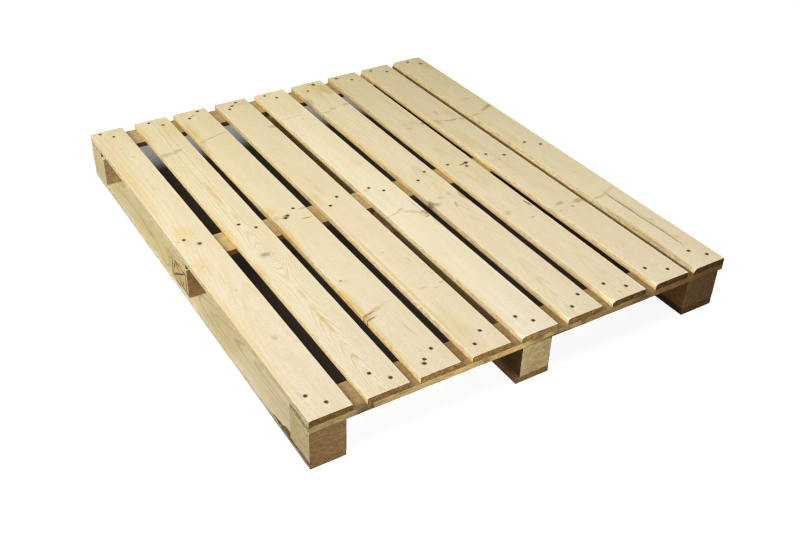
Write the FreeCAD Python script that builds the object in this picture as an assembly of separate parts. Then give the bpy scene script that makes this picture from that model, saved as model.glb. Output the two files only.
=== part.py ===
import FreeCAD, Part
import os

# Light one-way block pallet, four-way entry: nine deck boards on three
# stringer boards, nine spacer blocks and three bottom skid boards, all nailed.
# Frame: millimetres, +Z up, origin on the floor under the middle of the
# footprint.  +Y runs along the deck boards, +X runs across them.
# Plan positions in the tables are measured from the near left corner of the
# footprint (-X, -Y); at() moves them into the centred frame.

V = FreeCAD.Vector
ORIGIN = V(0, 0, 0)
UP = V(0, 0, 1)

# ------------------------------------------------------------------- heights
LENGTH = 1200.0          # along Y, length of deck boards and skids
WIDTH = 1000.0           # along X, length of stringer boards

SKID_T = 14.0
BLOCK_H = 74.0
STRINGER_T = 14.0
DECK_T = 15.0

Z_SKID = 0.0             # underside of each layer
Z_BLOCK = Z_SKID + SKID_T
Z_STRINGER = Z_BLOCK + BLOCK_H
Z_DECK = Z_STRINGER + STRINGER_T
HEIGHT = Z_DECK + DECK_T

# -------------------------------------------------------------------- timber
EASE = 0.9               # small round on sawn arrises
BLOCK_EASE = 1.3 * EASE
MIN_CROOK = 0.05         # a side straighter than this gets no halfway corner

# Deck boards, nominally 89 mm wide and laid slightly crooked.
# Number: (left, right) edge at the near end, half way and at the far end.
DECK_BOARDS = {
    1: ((0, 89), (0, 88), (0, 84.4)),
    2: ((118.5, 207.8), (118.8, 207.5), (117.2, 206.3)),
    3: ((229.6, 319.8), (229.2, 318.8), (224.6, 314.4)),
    4: ((345.3, 434.6), (345.4, 434.8), (344.2, 433.6)),
    5: ((460.4, 548.4), (460.2, 549.3), (461.0, 550.4)),
    6: ((574.0, 661.4), (574.8, 663.7), (576.0, 668.3)),
    7: ((688.3, 777.0), (689.8, 779.1), (691.6, 781.2)),
    8: ((805.2, 894.8), (802.2, 891.4), (801.4, 889.2)),
    9: ((916.0, WIDTH), (915.2, WIDTH), (913.8, WIDTH)),
}

# One board has a waney left side, whose foot stands out beyond its top edge.
WANEY_BOARD = 9
WANEY_FOOT = 7.5

# Stringer boards: y range by row.
STRINGER_W = 76
STRINGER_MIDDLE_Y = 564
STRINGER_Y = {"near": (0, STRINGER_W),
              "middle": (STRINGER_MIDDLE_Y, STRINGER_MIDDLE_Y + STRINGER_W),
              "far": (LENGTH - STRINGER_W, LENGTH)}

# Spacer blocks: x range by column, y range by row.
BLOCK_X = {"left": (0, 76), "centre": (466, 538), "right": (903, 989)}
BLOCK_Y = {"near": (0, 77), "middle": (560, 660), "far": (1108, LENGTH)}

# Skid boards: x range at the near end and at the far end.
SKID_X = {"left": ((0, 75), (0, 76)),
          "centre": ((457, 538), (458, 539)),
          "right": ((902, 988), (903, 989))}

# Deck board that lies over each column of blocks.
BOARD_OVER = {"left": 1, "centre": 5, "right": 9}

# --------------------------------------------------------------------- nails
SHANK_R = 1.4
HEAD_R = 3.0
HEAD_FLAT_R = 0.93 * HEAD_R   # flat top inside the bevelled rim
HEAD_BEVEL = 0.18             # depth of that bevel
HEAD_T = 1.1
HEAD_SINK = 1.0               # head top below the board face
POINT_L = 4.0
TIP_R = 0.18
DECK_NAIL_L = 68.0            # through deck and stringer into the block
SKID_NAIL_L = 44.0            # up through the skid into the block

RING_COUNT = 8                # annular rings on the lower shank
RING_PITCH = 2.0
RING_DEPTH = 0.22
RING_GROOVE = 0.45            # deepest place, as a fraction of the pitch
RING_CREST = 0.80             # start of the full-width crest, likewise
RING_TO_POINT = 1.0           # plain shank between rings and point

CLINCH_TURN_R = 1.6           # centre-line radius where the end turns over
CLINCH_L = 6.5                # straight run after the turn
CLINCH_SPREAD = 25            # degrees the turned ends stray from the X axis

HOLE_R = SHANK_R + 0.03       # bored wood round a driven shank
HEAD_HOLE_R = HEAD_R + 0.06
TIP_GAP = 0.2                 # bore beyond the nail tip
OVERRUN = 1.0                 # bore beyond a face it passes through
SHANK_BORE_STOP = 0.5         # shank bore ends this far inside the head face

DECK_HEAD_Z = HEIGHT - HEAD_SINK
SKID_HEAD_Z = Z_SKID + HEAD_SINK
DECK_SEAT_Z = DECK_HEAD_Z - HEAD_T
SKID_SEAT_Z = SKID_HEAD_Z + HEAD_T
DECK_TIP_Z = DECK_HEAD_Z - DECK_NAIL_L
SKID_TIP_Z = SKID_HEAD_Z + SKID_NAIL_L

# Deck nail positions (x, y) by row, then by deck board number.
DECK_NAILS = {
    "near": {
        1: [(26, 62), (51, 30)],
        2: [(155, 58), (183, 29)],
        3: [(258, 31), (292, 61), (264, 41)],
        4: [(371, 31), (403, 59)],
        5: [(489, 60), (512, 33)],
        6: [(607, 30), (643, 56)],
        7: [(713, 58), (748, 29)],
        8: [(826, 57), (865, 31)],
        9: [(952, 58), (978, 30)]},
    "middle": {
        1: [(26, 630), (51, 601)],
        2: [(155, 628), (184, 599)],
        3: [(291, 629), (258, 600), (266, 608)],
        4: [(402, 624), (371, 597)],
        5: [(487, 622), (512, 595)],
        6: [(642, 621), (607, 594)],
        7: [(711, 622), (748, 594), (755, 607)],
        8: [(824, 619), (862, 594)],
        9: [(947, 622), (976, 594)]},
    "far": {
        1: [(23, 1188), (49, 1159)],
        2: [(153, 1187), (182, 1159)],
        3: [(290, 1188), (256, 1159)],
        4: [(400, 1186), (370, 1157), (383, 1171)],
        5: [(487, 1185), (511, 1159)],
        6: [(638, 1185), (605, 1154)],
        7: [(713, 1186), (748, 1158)],
        8: [(825, 1183), (863, 1156)],
        9: [(950, 1183), (978, 1155)]},
}

# Skid nails in each block, as (x, y) fractions of the shared skid/block area.
SKID_NAIL_FRACTIONS = [(0.27, 0.22), (0.76, 0.50), (0.46, 0.80)]


def at(x, y, z):
    """Point in the centred frame for a plan position from the near left corner."""
    return V(x - WIDTH / 2.0, y - LENGTH / 2.0, z)


# ------------------------------------------------------------- timber shapes
def closed(points):
    return Part.makePolygon(points + [points[0]])


def outline(near, mid, far, y_range, z, foot=0.0):
    """Plan outline of a board at height z, its left side moved out by foot."""
    y0, y1 = y_range
    y_mid = (y0 + y1) / 2.0

    def crooked(side):
        return mid and abs(mid[side] - (near[side] + far[side]) / 2.0) > MIN_CROOK

    points = [at(near[0] - foot, y0, z), at(near[1], y0, z)]
    if crooked(1):
        points.append(at(mid[1], y_mid, z))
    points += [at(far[1], y1, z), at(far[0] - foot, y1, z)]
    if crooked(0):
        points.append(at(mid[0] - foot, y_mid, z))
    return closed(points)


def plank(near, far, y_range, z, thick, ease=EASE, mid=None, foot=0.0):
    """Sawn board with eased arrises, from its (left, right) edges at each end.

    A mid pair of edges gives the long sides a slight crook; foot leans the
    left side outwards towards the bottom.
    """
    low = outline(near, mid, far, y_range, z, foot)
    if foot:
        high = outline(near, mid, far, y_range, z + thick)
        solid = Part.makeLoft([low, high], True, True)
    else:
        solid = Part.Face(low).extrude(V(0, 0, thick))
    if solid.Volume < 0:
        solid.reverse()
    return solid.makeFillet(ease, solid.Edges)


def bore(x, y, z0, z1, radius=HOLE_R):
    return Part.makeCylinder(radius, z1 - z0, at(x, y, z0), UP)


def drilled(solid, bores):
    result = solid.cut(bores[0].multiFuse(bores[1:])).removeSplitter()
    return result.Solids[0] if len(result.Solids) == 1 else result


# --------------------------------------------------------------- nail shapes
# Half profile (radius, z) of the head, its top at z = 0 and the shank below.
HEAD_PROFILE = [(0, 0), (HEAD_FLAT_R, 0), (HEAD_R, -HEAD_BEVEL),
                (HEAD_R, -HEAD_T), (SHANK_R, -HEAD_T)]


def revolved(profile):
    wire = closed([V(radius, 0, z) for radius, z in profile])
    return Part.Face(wire).revolve(ORIGIN, UP, 360)


def ring_nail(length):
    """Straight ring-shank nail, pointing down from its head top at z = 0."""
    profile = list(HEAD_PROFILE)
    z = -(length - POINT_L - RING_TO_POINT) + RING_PITCH * RING_COUNT
    profile.append((SHANK_R, z))
    for _ in range(RING_COUNT):
        profile.append((SHANK_R - RING_DEPTH, z - RING_PITCH * RING_GROOVE))
        profile.append((SHANK_R, z - RING_PITCH * RING_CREST))
        profile.append((SHANK_R, z - RING_PITCH))
        z -= RING_PITCH
    profile += [(SHANK_R, -(length - POINT_L)), (TIP_R, -length), (0, -length)]
    return revolved(profile)


def clinch_nail(reach):
    """Plain nail whose end turns over towards +X, `reach` below its head top."""
    body = revolved(HEAD_PROFILE + [(SHANK_R, -reach), (0, -reach)])
    disc = Part.Face(Part.Wire(Part.makeCircle(SHANK_R, V(0, 0, -reach), UP)))
    turn = disc.revolve(V(CLINCH_TURN_R, 0, -reach), V(0, -1, 0), 90)
    z_run = -reach - CLINCH_TURN_R
    along = V(1, 0, 0)
    run = Part.makeCylinder(SHANK_R, CLINCH_L, V(CLINCH_TURN_R, 0, z_run), along)
    point = Part.makeCone(SHANK_R, TIP_R, POINT_L,
                          V(CLINCH_TURN_R + CLINCH_L, 0, z_run), along)
    return body.multiFuse([turn, run, point]).removeSplitter().Solids[0]


def placed(nail, x, y, z, turn=0.0):
    """Copy of a nail, turned about its shank and moved to a plan position."""
    copy = nail.copy()
    if turn:
        copy.rotate(ORIGIN, UP, turn)
    copy.translate(at(x, y, z))
    return copy


def clinch_direction(board, index):
    """Scattered angle that turns a clinched end towards the centre board."""
    angle = (37 * board + 143 * index) % (2 * CLINCH_SPREAD) - CLINCH_SPREAD
    return angle + 180 if board > BOARD_OVER["centre"] else angle


def skid_nail_points(column, row):
    """Plan positions of the nails that join a skid to one block."""
    ranges = [BLOCK_X[column], *SKID_X[column]]
    x0 = max(left for left, right in ranges)
    x1 = min(right for left, right in ranges)
    y0, y1 = BLOCK_Y[row]
    return [(x0 + u * (x1 - x0), y0 + v * (y1 - y0))
            for u, v in SKID_NAIL_FRACTIONS]


# -------------------------------------------------------------------- pieces
def deck_board(number):
    near, mid, far = DECK_BOARDS[number]
    foot = WANEY_FOOT if number == WANEY_BOARD else 0.0
    board = plank(near, far, (0, LENGTH), Z_DECK, DECK_T, mid=mid, foot=foot)
    bores = []
    for nails in DECK_NAILS.values():
        for x, y in nails[number]:
            bores.append(bore(x, y, Z_DECK - OVERRUN, HEIGHT - SHANK_BORE_STOP))
            bores.append(bore(x, y, DECK_SEAT_Z, HEIGHT + OVERRUN, HEAD_HOLE_R))
    return drilled(board, bores)


def stringer_board(row):
    ends = (0, WIDTH)
    board = plank(ends, ends, STRINGER_Y[row], Z_STRINGER, STRINGER_T)
    return drilled(board, [bore(x, y, Z_STRINGER - OVERRUN, Z_DECK + OVERRUN)
                           for points in DECK_NAILS[row].values()
                           for x, y in points])


def block(column, row):
    x_range = BLOCK_X[column]
    body = plank(x_range, x_range, BLOCK_Y[row], Z_BLOCK, BLOCK_H, BLOCK_EASE)
    bores = [bore(x, y, DECK_TIP_Z - TIP_GAP, Z_STRINGER + OVERRUN)
             for x, y in DECK_NAILS[row][BOARD_OVER[column]]]
    bores += [bore(x, y, Z_BLOCK - OVERRUN, SKID_TIP_Z + TIP_GAP)
              for x, y in skid_nail_points(column, row)]
    return drilled(body, bores)


def skid_board(column):
    near, far = SKID_X[column]
    board = plank(near, far, (0, LENGTH), Z_SKID, SKID_T)
    bores = []
    for row in BLOCK_Y:
        for x, y in skid_nail_points(column, row):
            bores.append(bore(x, y, Z_SKID + SHANK_BORE_STOP, Z_BLOCK + OVERRUN))
            bores.append(bore(x, y, Z_SKID - OVERRUN, SKID_SEAT_Z, HEAD_HOLE_R))
    return drilled(board, bores)


def deck_block_nails(row):
    """Ring nails driven through deck and stringer into the blocks."""
    nail = ring_nail(DECK_NAIL_L)
    return Part.makeCompound([placed(nail, x, y, DECK_HEAD_Z)
                              for board in BOARD_OVER.values()
                              for x, y in DECK_NAILS[row][board]])


def deck_clinch_nails(row):
    """Nails between the blocks, turned over under the stringer."""
    nail = clinch_nail(DECK_HEAD_Z - Z_STRINGER)
    return Part.makeCompound([
        placed(nail, x, y, DECK_HEAD_Z, clinch_direction(board, index))
        for board, points in DECK_NAILS[row].items()
        if board not in BOARD_OVER.values()
        for index, (x, y) in enumerate(points)])


def skid_nails(column):
    """Ring nails driven up through a skid into its three blocks."""
    nail = ring_nail(SKID_NAIL_L)
    nail.rotate(ORIGIN, V(1, 0, 0), 180)
    return Part.makeCompound([placed(nail, x, y, SKID_HEAD_Z)
                              for row in BLOCK_Y
                              for x, y in skid_nail_points(column, row)])


# ------------------------------------------------------------------ assembly
pieces = {}
for number in DECK_BOARDS:
    pieces["deck_board_%d" % number] = deck_board(number)
for row in STRINGER_Y:
    pieces["stringer_board_%s" % row] = stringer_board(row)
for column in BLOCK_X:
    for row in BLOCK_Y:
        pieces["block_%s_%s" % (column, row)] = block(column, row)
for column in SKID_X:
    pieces["skid_board_%s" % column] = skid_board(column)
for row in DECK_NAILS:
    pieces["deck_block_nails_%s" % row] = deck_block_nails(row)
    pieces["deck_clinch_nails_%s" % row] = deck_clinch_nails(row)
for column in SKID_X:
    pieces["skid_nails_%s" % column] = skid_nails(column)

os.makedirs("parts", exist_ok=True)
for name, shape in pieces.items():
    if not shape.isValid():
        raise SystemExit("invalid shape in " + name)
    shape.exportStep("parts/%s.step" % name)
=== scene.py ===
"""A timber pallet: nine deck boards over three stringer boards, nine blocks and three skids.

Deck boards (1 to 9, left to right), blocks and skids run along Y, stringers along X.  Left is
low X, near is low Y, Z is up and the skids stand on Z = 0.  Lengths are in mm unless noted.
"""
import math

import bpy
import numpy as np
from mathutils import Matrix, Vector


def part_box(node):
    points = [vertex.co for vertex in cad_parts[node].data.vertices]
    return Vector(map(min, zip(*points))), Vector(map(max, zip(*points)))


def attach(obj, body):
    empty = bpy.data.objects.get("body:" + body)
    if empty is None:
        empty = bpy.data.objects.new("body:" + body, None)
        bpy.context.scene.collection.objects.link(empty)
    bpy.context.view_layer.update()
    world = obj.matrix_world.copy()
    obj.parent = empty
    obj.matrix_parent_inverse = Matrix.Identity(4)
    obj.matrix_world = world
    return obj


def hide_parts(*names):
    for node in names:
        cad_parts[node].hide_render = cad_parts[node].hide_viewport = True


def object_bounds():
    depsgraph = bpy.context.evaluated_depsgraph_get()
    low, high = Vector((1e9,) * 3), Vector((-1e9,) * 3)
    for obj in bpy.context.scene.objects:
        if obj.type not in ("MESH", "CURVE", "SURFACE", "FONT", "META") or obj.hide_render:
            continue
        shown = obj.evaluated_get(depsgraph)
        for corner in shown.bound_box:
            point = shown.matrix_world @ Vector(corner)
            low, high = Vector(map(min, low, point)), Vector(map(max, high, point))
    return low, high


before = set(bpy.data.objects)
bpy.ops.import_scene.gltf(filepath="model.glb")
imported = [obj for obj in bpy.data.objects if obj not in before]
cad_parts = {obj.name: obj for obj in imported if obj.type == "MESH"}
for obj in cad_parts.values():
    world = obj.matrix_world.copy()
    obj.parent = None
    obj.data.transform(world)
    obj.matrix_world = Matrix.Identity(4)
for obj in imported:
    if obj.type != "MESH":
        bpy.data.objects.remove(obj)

MM = 0.001                     # one mm in scene metres
CAD_LO, CAD_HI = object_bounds()
LEFT_X, NEAR_Y = CAD_LO.x * 1000.0, CAD_LO.y * 1000.0
TOP_Z = CAD_HI.z * 1000.0
BOARD_LENGTH = 1200.0          # span of the lengthwise colour and pith curves
ROWS, COLUMNS = ("near", "middle", "far"), ("left", "centre", "right")
scene = bpy.context.scene


# ---- Seeded noise ---------------------------------------------------
def lattice_hash(ix, iy, iz, seed):
    h = (ix * 374761393 + iy * 668265263 + iz * 2147483647 + seed * 974634777)
    h = h & 0xFFFFFFFF
    h = ((h ^ (h >> 13)) * 1274126177) & 0xFFFFFFFF
    h = ((h ^ (h >> 16)) * 2246822519) & 0xFFFFFFFF
    h = h ^ (h >> 15)
    return (h & 0xFFFFFF) / float(0xFFFFFF) * 2.0 - 1.0


def value_noise(points, seed):
    """Value noise in [-1, 1] at points (N, 3)."""
    cell = np.floor(points).astype(np.int64)
    part = points - cell
    part = part * part * part * (part * (part * 6 - 15) + 10)
    total = 0.0
    for dx in (0, 1):
        wx = part[:, 0] if dx else 1 - part[:, 0]
        for dy in (0, 1):
            wy = part[:, 1] if dy else 1 - part[:, 1]
            for dz in (0, 1):
                wz = part[:, 2] if dz else 1 - part[:, 2]
                total = total + wx * wy * wz * lattice_hash(
                    cell[:, 0] + dx, cell[:, 1] + dy, cell[:, 2] + dz, seed)
    return total


def layered_noise(points, wavelengths, seed, octaves=3, gain=0.5):
    """Octaves of value noise; one wavelength per axis."""
    scaled = points / np.array(wavelengths, float)
    total, amplitude, norm = 0.0, 1.0, 0.0
    for k in range(octaves):
        total = total + amplitude * value_noise(scaled + 17.3 * k, seed + 31 * k)
        norm += amplitude
        amplitude *= gain
        scaled = scaled * 2.03
    return total / norm


def smooth(start, end, x):
    t = np.clip((x - start) / (end - start), 0, 1)
    return t * t * (3 - 2 * t)


# ---- Outlines and nail places from the CAD --------------------------
HEAD_RADIUS = 3.6
HEAD_DEPTH = 1.0               # nail heads lie this far below the faces


def cad_points(node):
    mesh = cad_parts[node].data
    coords = np.empty(len(mesh.vertices) * 3, np.float32)
    mesh.vertices.foreach_get("co", coords)
    return coords.reshape(-1, 3).astype(float) * 1000.0


def plan_edges(node, axis):
    """A function giving both edges (across) at a place along the board, and the board's ends."""
    points = cad_points(node)
    across, along = points[:, :2].T if axis == "y" else points[:, 1::-1].T
    start, end = along.min(), along.max()
    middle = (start + end) / 2
    sides = []
    for extreme in (np.min, np.max):
        first, last = (extreme(across[np.abs(along - place) < 2.0]) for place in (start, end))
        line = (first + last) / 2
        band = across[(np.abs(along - middle) < 4.0) & (np.abs(across - line) < 8.0)]
        centre = line
        if band.size and abs(extreme(band) - line) <= 5:
            centre = extreme(band)
        sides.append((first, centre, last))

    def edges(place):
        # parabolas through the three stations of each side
        x = (place - start) / (end - start)
        return [a * (2 * x - 1) * (x - 1) + 4 * m * x * (1 - x) + b * x * (2 * x - 1)
                for a, m, b in sides]
    return edges, start, end


def nail_heads(nodes, z):
    """Centres of the nail heads whose flat face lies at height z."""
    centres = []
    for node in nodes:
        points = cad_points(node)
        points = points[np.abs(points[:, 2] - z) < 0.05][:, :2]
        while len(points):
            head = points[np.hypot(*(points - points[0]).T) < 2 * HEAD_RADIUS]
            centre = (head.min(0) + head.max(0)) / 2
            centres.append((float(centre[0]), float(centre[1])))
            points = points[np.hypot(*(points - centre).T) > HEAD_RADIUS + 1.2]
    return sorted(set((round(x, 2), round(y, 2)) for x, y in centres))


BLOCK_NAILS = ["deck_block_nails_%s" % row for row in ROWS]
CLINCH_NAILS = ["deck_clinch_nails_%s" % row for row in ROWS]
DECK_HEADS = nail_heads(BLOCK_NAILS + CLINCH_NAILS, TOP_Z - HEAD_DEPTH)
LONG_HEADS = nail_heads(BLOCK_NAILS, TOP_Z - HEAD_DEPTH)
SKID_HEADS = nail_heads(["skid_nails_%s" % column for column in COLUMNS], HEAD_DEPTH)


def holes_in(node, heads, inset, kind, blind_end=None):
    """Holes (x, y, kind, height of a blind end) for the heads over a piece."""
    lo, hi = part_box(node)
    return [(x, y, kind, blind_end) for x, y in heads
            if lo.x * 1000 + inset < x < hi.x * 1000 - inset
            and lo.y * 1000 + inset < y < hi.y * 1000 - inset]


# ---- Sawn timber as a closed mesh -----------------------------------
# Mesh space is (across, along, up) from the piece's low corner.
EDGE_STEPS = np.array([0, 0.35, 0.8, 1.4, 2.2, 3.4])     # grid lines beside each arris
CRACK_STEPS = (-1.5, -0.55, 0.0, 0.55, 1.5)              # grid lines across a crack
HEAD_CUT, SHANK_CUT = 4.4, 2.9       # half sides of the squares cut from the grid for holes
HEAD_BORE, SHANK_BORE, MOUTH = 3.07, 1.45, 1.7           # hole radii
HEAD_FLOOR = 2.1                     # depth of the head recess


def grid_lines(length, step, fixed):
    lines = list(EDGE_STEPS) + list(length - EDGE_STEPS)
    for place in sorted(fixed):
        if 0.5 < place < length - 0.5 and all(abs(place - k) > 0.3 for k in lines):
            lines.append(place)
    count = max(1, int(round(length / step)))
    for place in np.linspace(0, length, count + 1):
        if all(abs(place - k) > 0.45 * step for k in lines):
            lines.append(place)
    return np.array(sorted(lines))


def cut_half(kind):
    return HEAD_CUT if kind.startswith("head") else SHANK_CUT


def border(i0, i1, j0, j1):
    """Grid indices round a rectangle, counterclockwise."""
    return np.array([(i, j0) for i in range(i0, i1)] + [(i1, j) for j in range(j0, j1)]
                    + [(i, j1) for i in range(i1, i0, -1)]
                    + [(i0, j) for j in range(j1, j0, -1)])


def ease_arrises(points, size, ease, chips, seed):
    """Round and chip the arrises: new points, their normals and the torn patches."""
    radius = ease * (1.0 + 0.65 * layered_noise(points, (9, 22, 9), seed + 5))
    radius = np.clip(radius, 0.3, None)
    torn = np.zeros(len(points))
    for centre, radii, extra, dark in chips:
        reach = np.sqrt((((points - np.array(centre)) / np.array(radii)) ** 2).sum(1))
        radius = radius + extra * (1 - smooth(0, 1, reach))
        torn = np.maximum(torn, dark * (1 - smooth(0.55, 1, reach)))
    radius = np.minimum(radius, size[2] * 0.45)
    wide = radius[:, None]
    far = size - points
    corner = np.where(points < far, -np.clip(wide - points, 0, None),
                      np.clip(wide - far, 0, None))
    depth = np.linalg.norm(corner, axis=1)
    safe = np.maximum(depth, 1e-9)
    points = points - corner * np.clip(1 - radius / safe, 0, None)[:, None]
    torn = torn * smooth(0.25, 0.9, depth / np.maximum(radius, 1e-6))
    return points, corner / safe[:, None], torn


def roughen(points, normals, rough, end_rough, seed):
    """Sink the surface along its normals: fibres on the long arrises, tears on the ends."""
    def noise(wavelengths, index, octaves, gain=0.5):
        return 0.5 + 0.5 * layered_noise(points, wavelengths, seed + index, octaves, gain)

    flat = noise((34, 210, 34), 1, 3)
    fibre = noise((3.2, 46, 3.2), 2, 2)
    torn = noise((2.6, 40, 2.2), 3, 3, 0.7)
    broad = noise((14, 40, 8), 4, 2)
    amount = rough * (0.75 * flat + 0.45 * fibre)
    end = np.abs(normals[:, 1])
    amount = amount * (1 - end) + end * end_rough * (0.75 * torn + 0.6 * broad)
    return points - normals * amount[:, None]


def cut_wane(points, height, wane, seed):
    """Slope off the upper left arris in place; returns the bark mask."""
    start, end = wane["span"]
    along, fade = points[:, 1], wane["fade"]
    window = smooth(start, start + fade, along) * (1 - smooth(end - fade, end, along))
    depth = wane["depth"] * window * (0.82 + 0.3 * layered_noise(points, (9, 34, 9), seed + 9))
    angle = math.radians(wane["angle"])
    cosine, sine = math.cos(angle), math.sin(angle)
    push = np.clip(depth - (points[:, 0] * cosine + (height - points[:, 2]) * sine), 0, None)
    points[:, 0] += push * cosine
    points[:, 2] -= push * sine
    return smooth(0.0, 0.5, push)


def open_crack(points, across, along, on_top, crack, seed):
    """Open a crack in the top face in place; returns its mask, which paints shade into the crack
    and along its lips.
    """
    line = crack["across"]
    place = points[:, 1]
    drift = np.interp(place, [k[0] for k in crack["path"]], [k[1] - line for k in crack["path"]])
    drift = drift + 0.35 * layered_noise(np.stack([place * 0, place, place * 0], 1),
                                         (9, 9, 9), seed + 70, 2)
    away = np.abs(across - line)
    points[:, 0] += np.where(on_top, drift * (1 - smooth(3.0, 14.0, away)), 0)
    start, end = crack["span"]
    window = smooth(start, start + 40, along) * (1 - smooth(end - 25, end, along))
    half_gap = crack["half_gap"] * (0.4 + 0.6 * window)
    core = on_top & (away < 0.1)
    lip = on_top & (away > 0.3) & (away < 0.8)
    rim = on_top & (away > 1.2) & (away < 1.8)
    points[:, 2] -= np.where(core, crack["depth"] * window, 0)
    points[:, 0] -= np.where(lip, np.sign(across - line) * (0.55 - half_gap), 0) * window
    points[:, 2] -= np.where(lip, 0.15 * window, 0)
    mask = np.zeros(len(points))
    for part, dark in ((core, 1.0), (lip, 0.75), (rim, 0.06)):
        mask = np.maximum(mask, np.where(part, dark * window, 0))
    return mask


def dent_heads(points, across, along, nails, on_top, on_bottom):
    """Dent the faces round the nail heads in place; returns the rust mask."""
    mask = np.zeros(len(points))
    # kind: face, direction of the dent, inner and outer radius of the rust
    faces = {"head_top": (on_top, -1, 3.0, 5.8), "head_bottom": (on_bottom, 1, 3.4, 7.5)}
    for nail_across, nail_along, kind, _ in nails:
        if kind not in faces:
            continue
        face, way, inner, outer = faces[kind]
        away = np.hypot(across - nail_across, along - nail_along)
        points[:, 2] += way * np.where(face, 0.30 * (1 - smooth(3.2, 7.0, away)), 0)
        mask = np.maximum(mask, np.where(face, 1 - smooth(inner, outer, away), 0))
    return mask


def hole_rings(kind, blind_end, height, top, bottom, flare):
    """Rings of a hole from the top down: (radius, height, darkness)."""
    mouth = (MOUTH, top - 0.02, 1)
    if kind == "head_top":
        return [(3.65 + flare, top - 0.12, 1), (3.2, top.mean() - 0.5, 1),
                (HEAD_BORE, height - 1.6, 1), (HEAD_BORE, height - HEAD_FLOOR, 1),
                (SHANK_BORE, height - HEAD_FLOOR, 1), (SHANK_BORE, 0.25, 1),
                (1.75, bottom + 0.02, 0.6)]
    if kind == "plain":
        return [mouth, (SHANK_BORE, height - 0.4, 1), (SHANK_BORE, 0.4, 1),
                (1.8, bottom + 0.02, 0.6)]
    if kind == "head_bottom":
        return [mouth, (SHANK_BORE, height - 0.4, 1), (SHANK_BORE, HEAD_FLOOR, 1),
                (HEAD_BORE, HEAD_FLOOR, 1), (3.2, bottom.mean() + 0.5, 1),
                (3.6, bottom + 0.1, 0.8)]
    if kind == "blind_top":
        return [mouth, (SHANK_BORE, height - 0.5, 1), (SHANK_BORE, blind_end + 1.0, 1),
                (0.9, blind_end, 1)]
    return [(0.9, blind_end, 1), (SHANK_BORE, blind_end - 1.0, 1), (SHANK_BORE, 0.5, 1),
            (MOUTH, bottom + 0.02, 1)]


def band(lower, upper):
    """Quads between two closed loops of vertex numbers."""
    return np.stack([lower, np.roll(lower, -1), np.roll(upper, -1), upper], 1)


def bore_holes(points, nails, height, lines, along_lines, top_ids, bottom_ids):
    """Cut the nail holes: extra vertices, darkness, quads, triangles and faces to keep."""
    keep_top = np.ones((len(lines) - 1, len(along_lines) - 1), bool)
    keep_bottom = keep_top.copy()
    vertices, darkness, quads, triangles = [], [], [], []
    count = len(points)
    for across, along, kind, blind_end in nails:
        half = cut_half(kind)
        i0, i1 = (np.argmin(np.abs(lines - (across + k))) for k in (-half, half))
        j0, j1 = (np.argmin(np.abs(along_lines - (along + k))) for k in (-half, half))
        loop = border(i0, i1, j0, j1)
        angle = np.arctan2(along_lines[loop[:, 1]] - along, lines[loop[:, 0]] - across)
        top_loop = top_ids[loop[:, 0], loop[:, 1]]
        bottom_loop = bottom_ids[loop[:, 0], loop[:, 1]]
        if kind != "blind_bottom":
            keep_top[i0:i1, j0:j1] = False
        if kind != "blind_top":
            keep_bottom[i0:i1, j0:j1] = False
        rings = []
        for radius, z, dark in hole_rings(kind, blind_end, height, points[top_loop, 2],
                                          points[bottom_loop, 2],
                                          0.2 * np.sin(3 * angle + across)):
            rings.append(np.arange(count, count + len(angle)))
            vertices.append(np.stack([across + radius * np.cos(angle),
                                      along + radius * np.sin(angle),
                                      np.broadcast_to(z, angle.shape)], 1))
            darkness.append(np.full(len(angle), dark))
            count += len(angle)
        if kind.startswith("blind"):     # close the end with a fan
            vertices.append(np.array([[across, along, blind_end]]))
            darkness.append(np.ones(1))
            ring = rings[-1] if kind == "blind_top" else rings[0]
            pair = [ring, np.roll(ring, -1)]
            if kind == "blind_bottom":
                pair.reverse()
            triangles.append(np.stack(pair + [np.full(len(ring), count)], 1))
            count += 1
        if kind != "blind_bottom":
            rings.insert(0, top_loop)
        if kind != "blind_top":
            rings.append(bottom_loop)
        quads += [band(upper, lower) for upper, lower in zip(rings[:-1], rings[1:])]
    return vertices, darkness, quads, triangles, keep_top, keep_bottom


def write_mesh(name, points, quads, triangles, masks):
    """Make the object, without the vertices that no face uses."""
    used = np.zeros(len(points), bool)
    used[quads.ravel()] = True
    used[triangles.ravel()] = True
    number = np.cumsum(used) - 1
    quads, triangles = number[quads], number[triangles]
    points = points[used]

    mesh = bpy.data.meshes.new(name)
    mesh.vertices.add(len(points))
    mesh.vertices.foreach_set("co", (points * MM).astype(np.float32).ravel())
    loops = np.concatenate([quads.ravel(), triangles.ravel()]).astype(np.int32)
    sizes = np.concatenate([np.full(len(quads), 4), np.full(len(triangles), 3)])
    starts = np.concatenate([[0], np.cumsum(sizes)[:-1]])
    mesh.loops.add(len(loops))
    mesh.loops.foreach_set("vertex_index", loops)
    mesh.polygons.add(len(sizes))
    mesh.polygons.foreach_set("loop_start", starts.astype(np.int32))
    mesh.polygons.foreach_set("loop_total", sizes.astype(np.int32))
    mesh.polygons.foreach_set("use_smooth", np.ones(len(sizes), bool))
    mesh.update(calc_edges=True)
    mesh.validate()
    for key, mask in masks.items():
        attribute = mesh.attributes.new(key, "FLOAT", "POINT")
        attribute.data.foreach_set("value", mask[used].astype(np.float32))
    piece = bpy.data.objects.new(name, mesh)
    scene.collection.objects.link(piece)
    return piece


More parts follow.
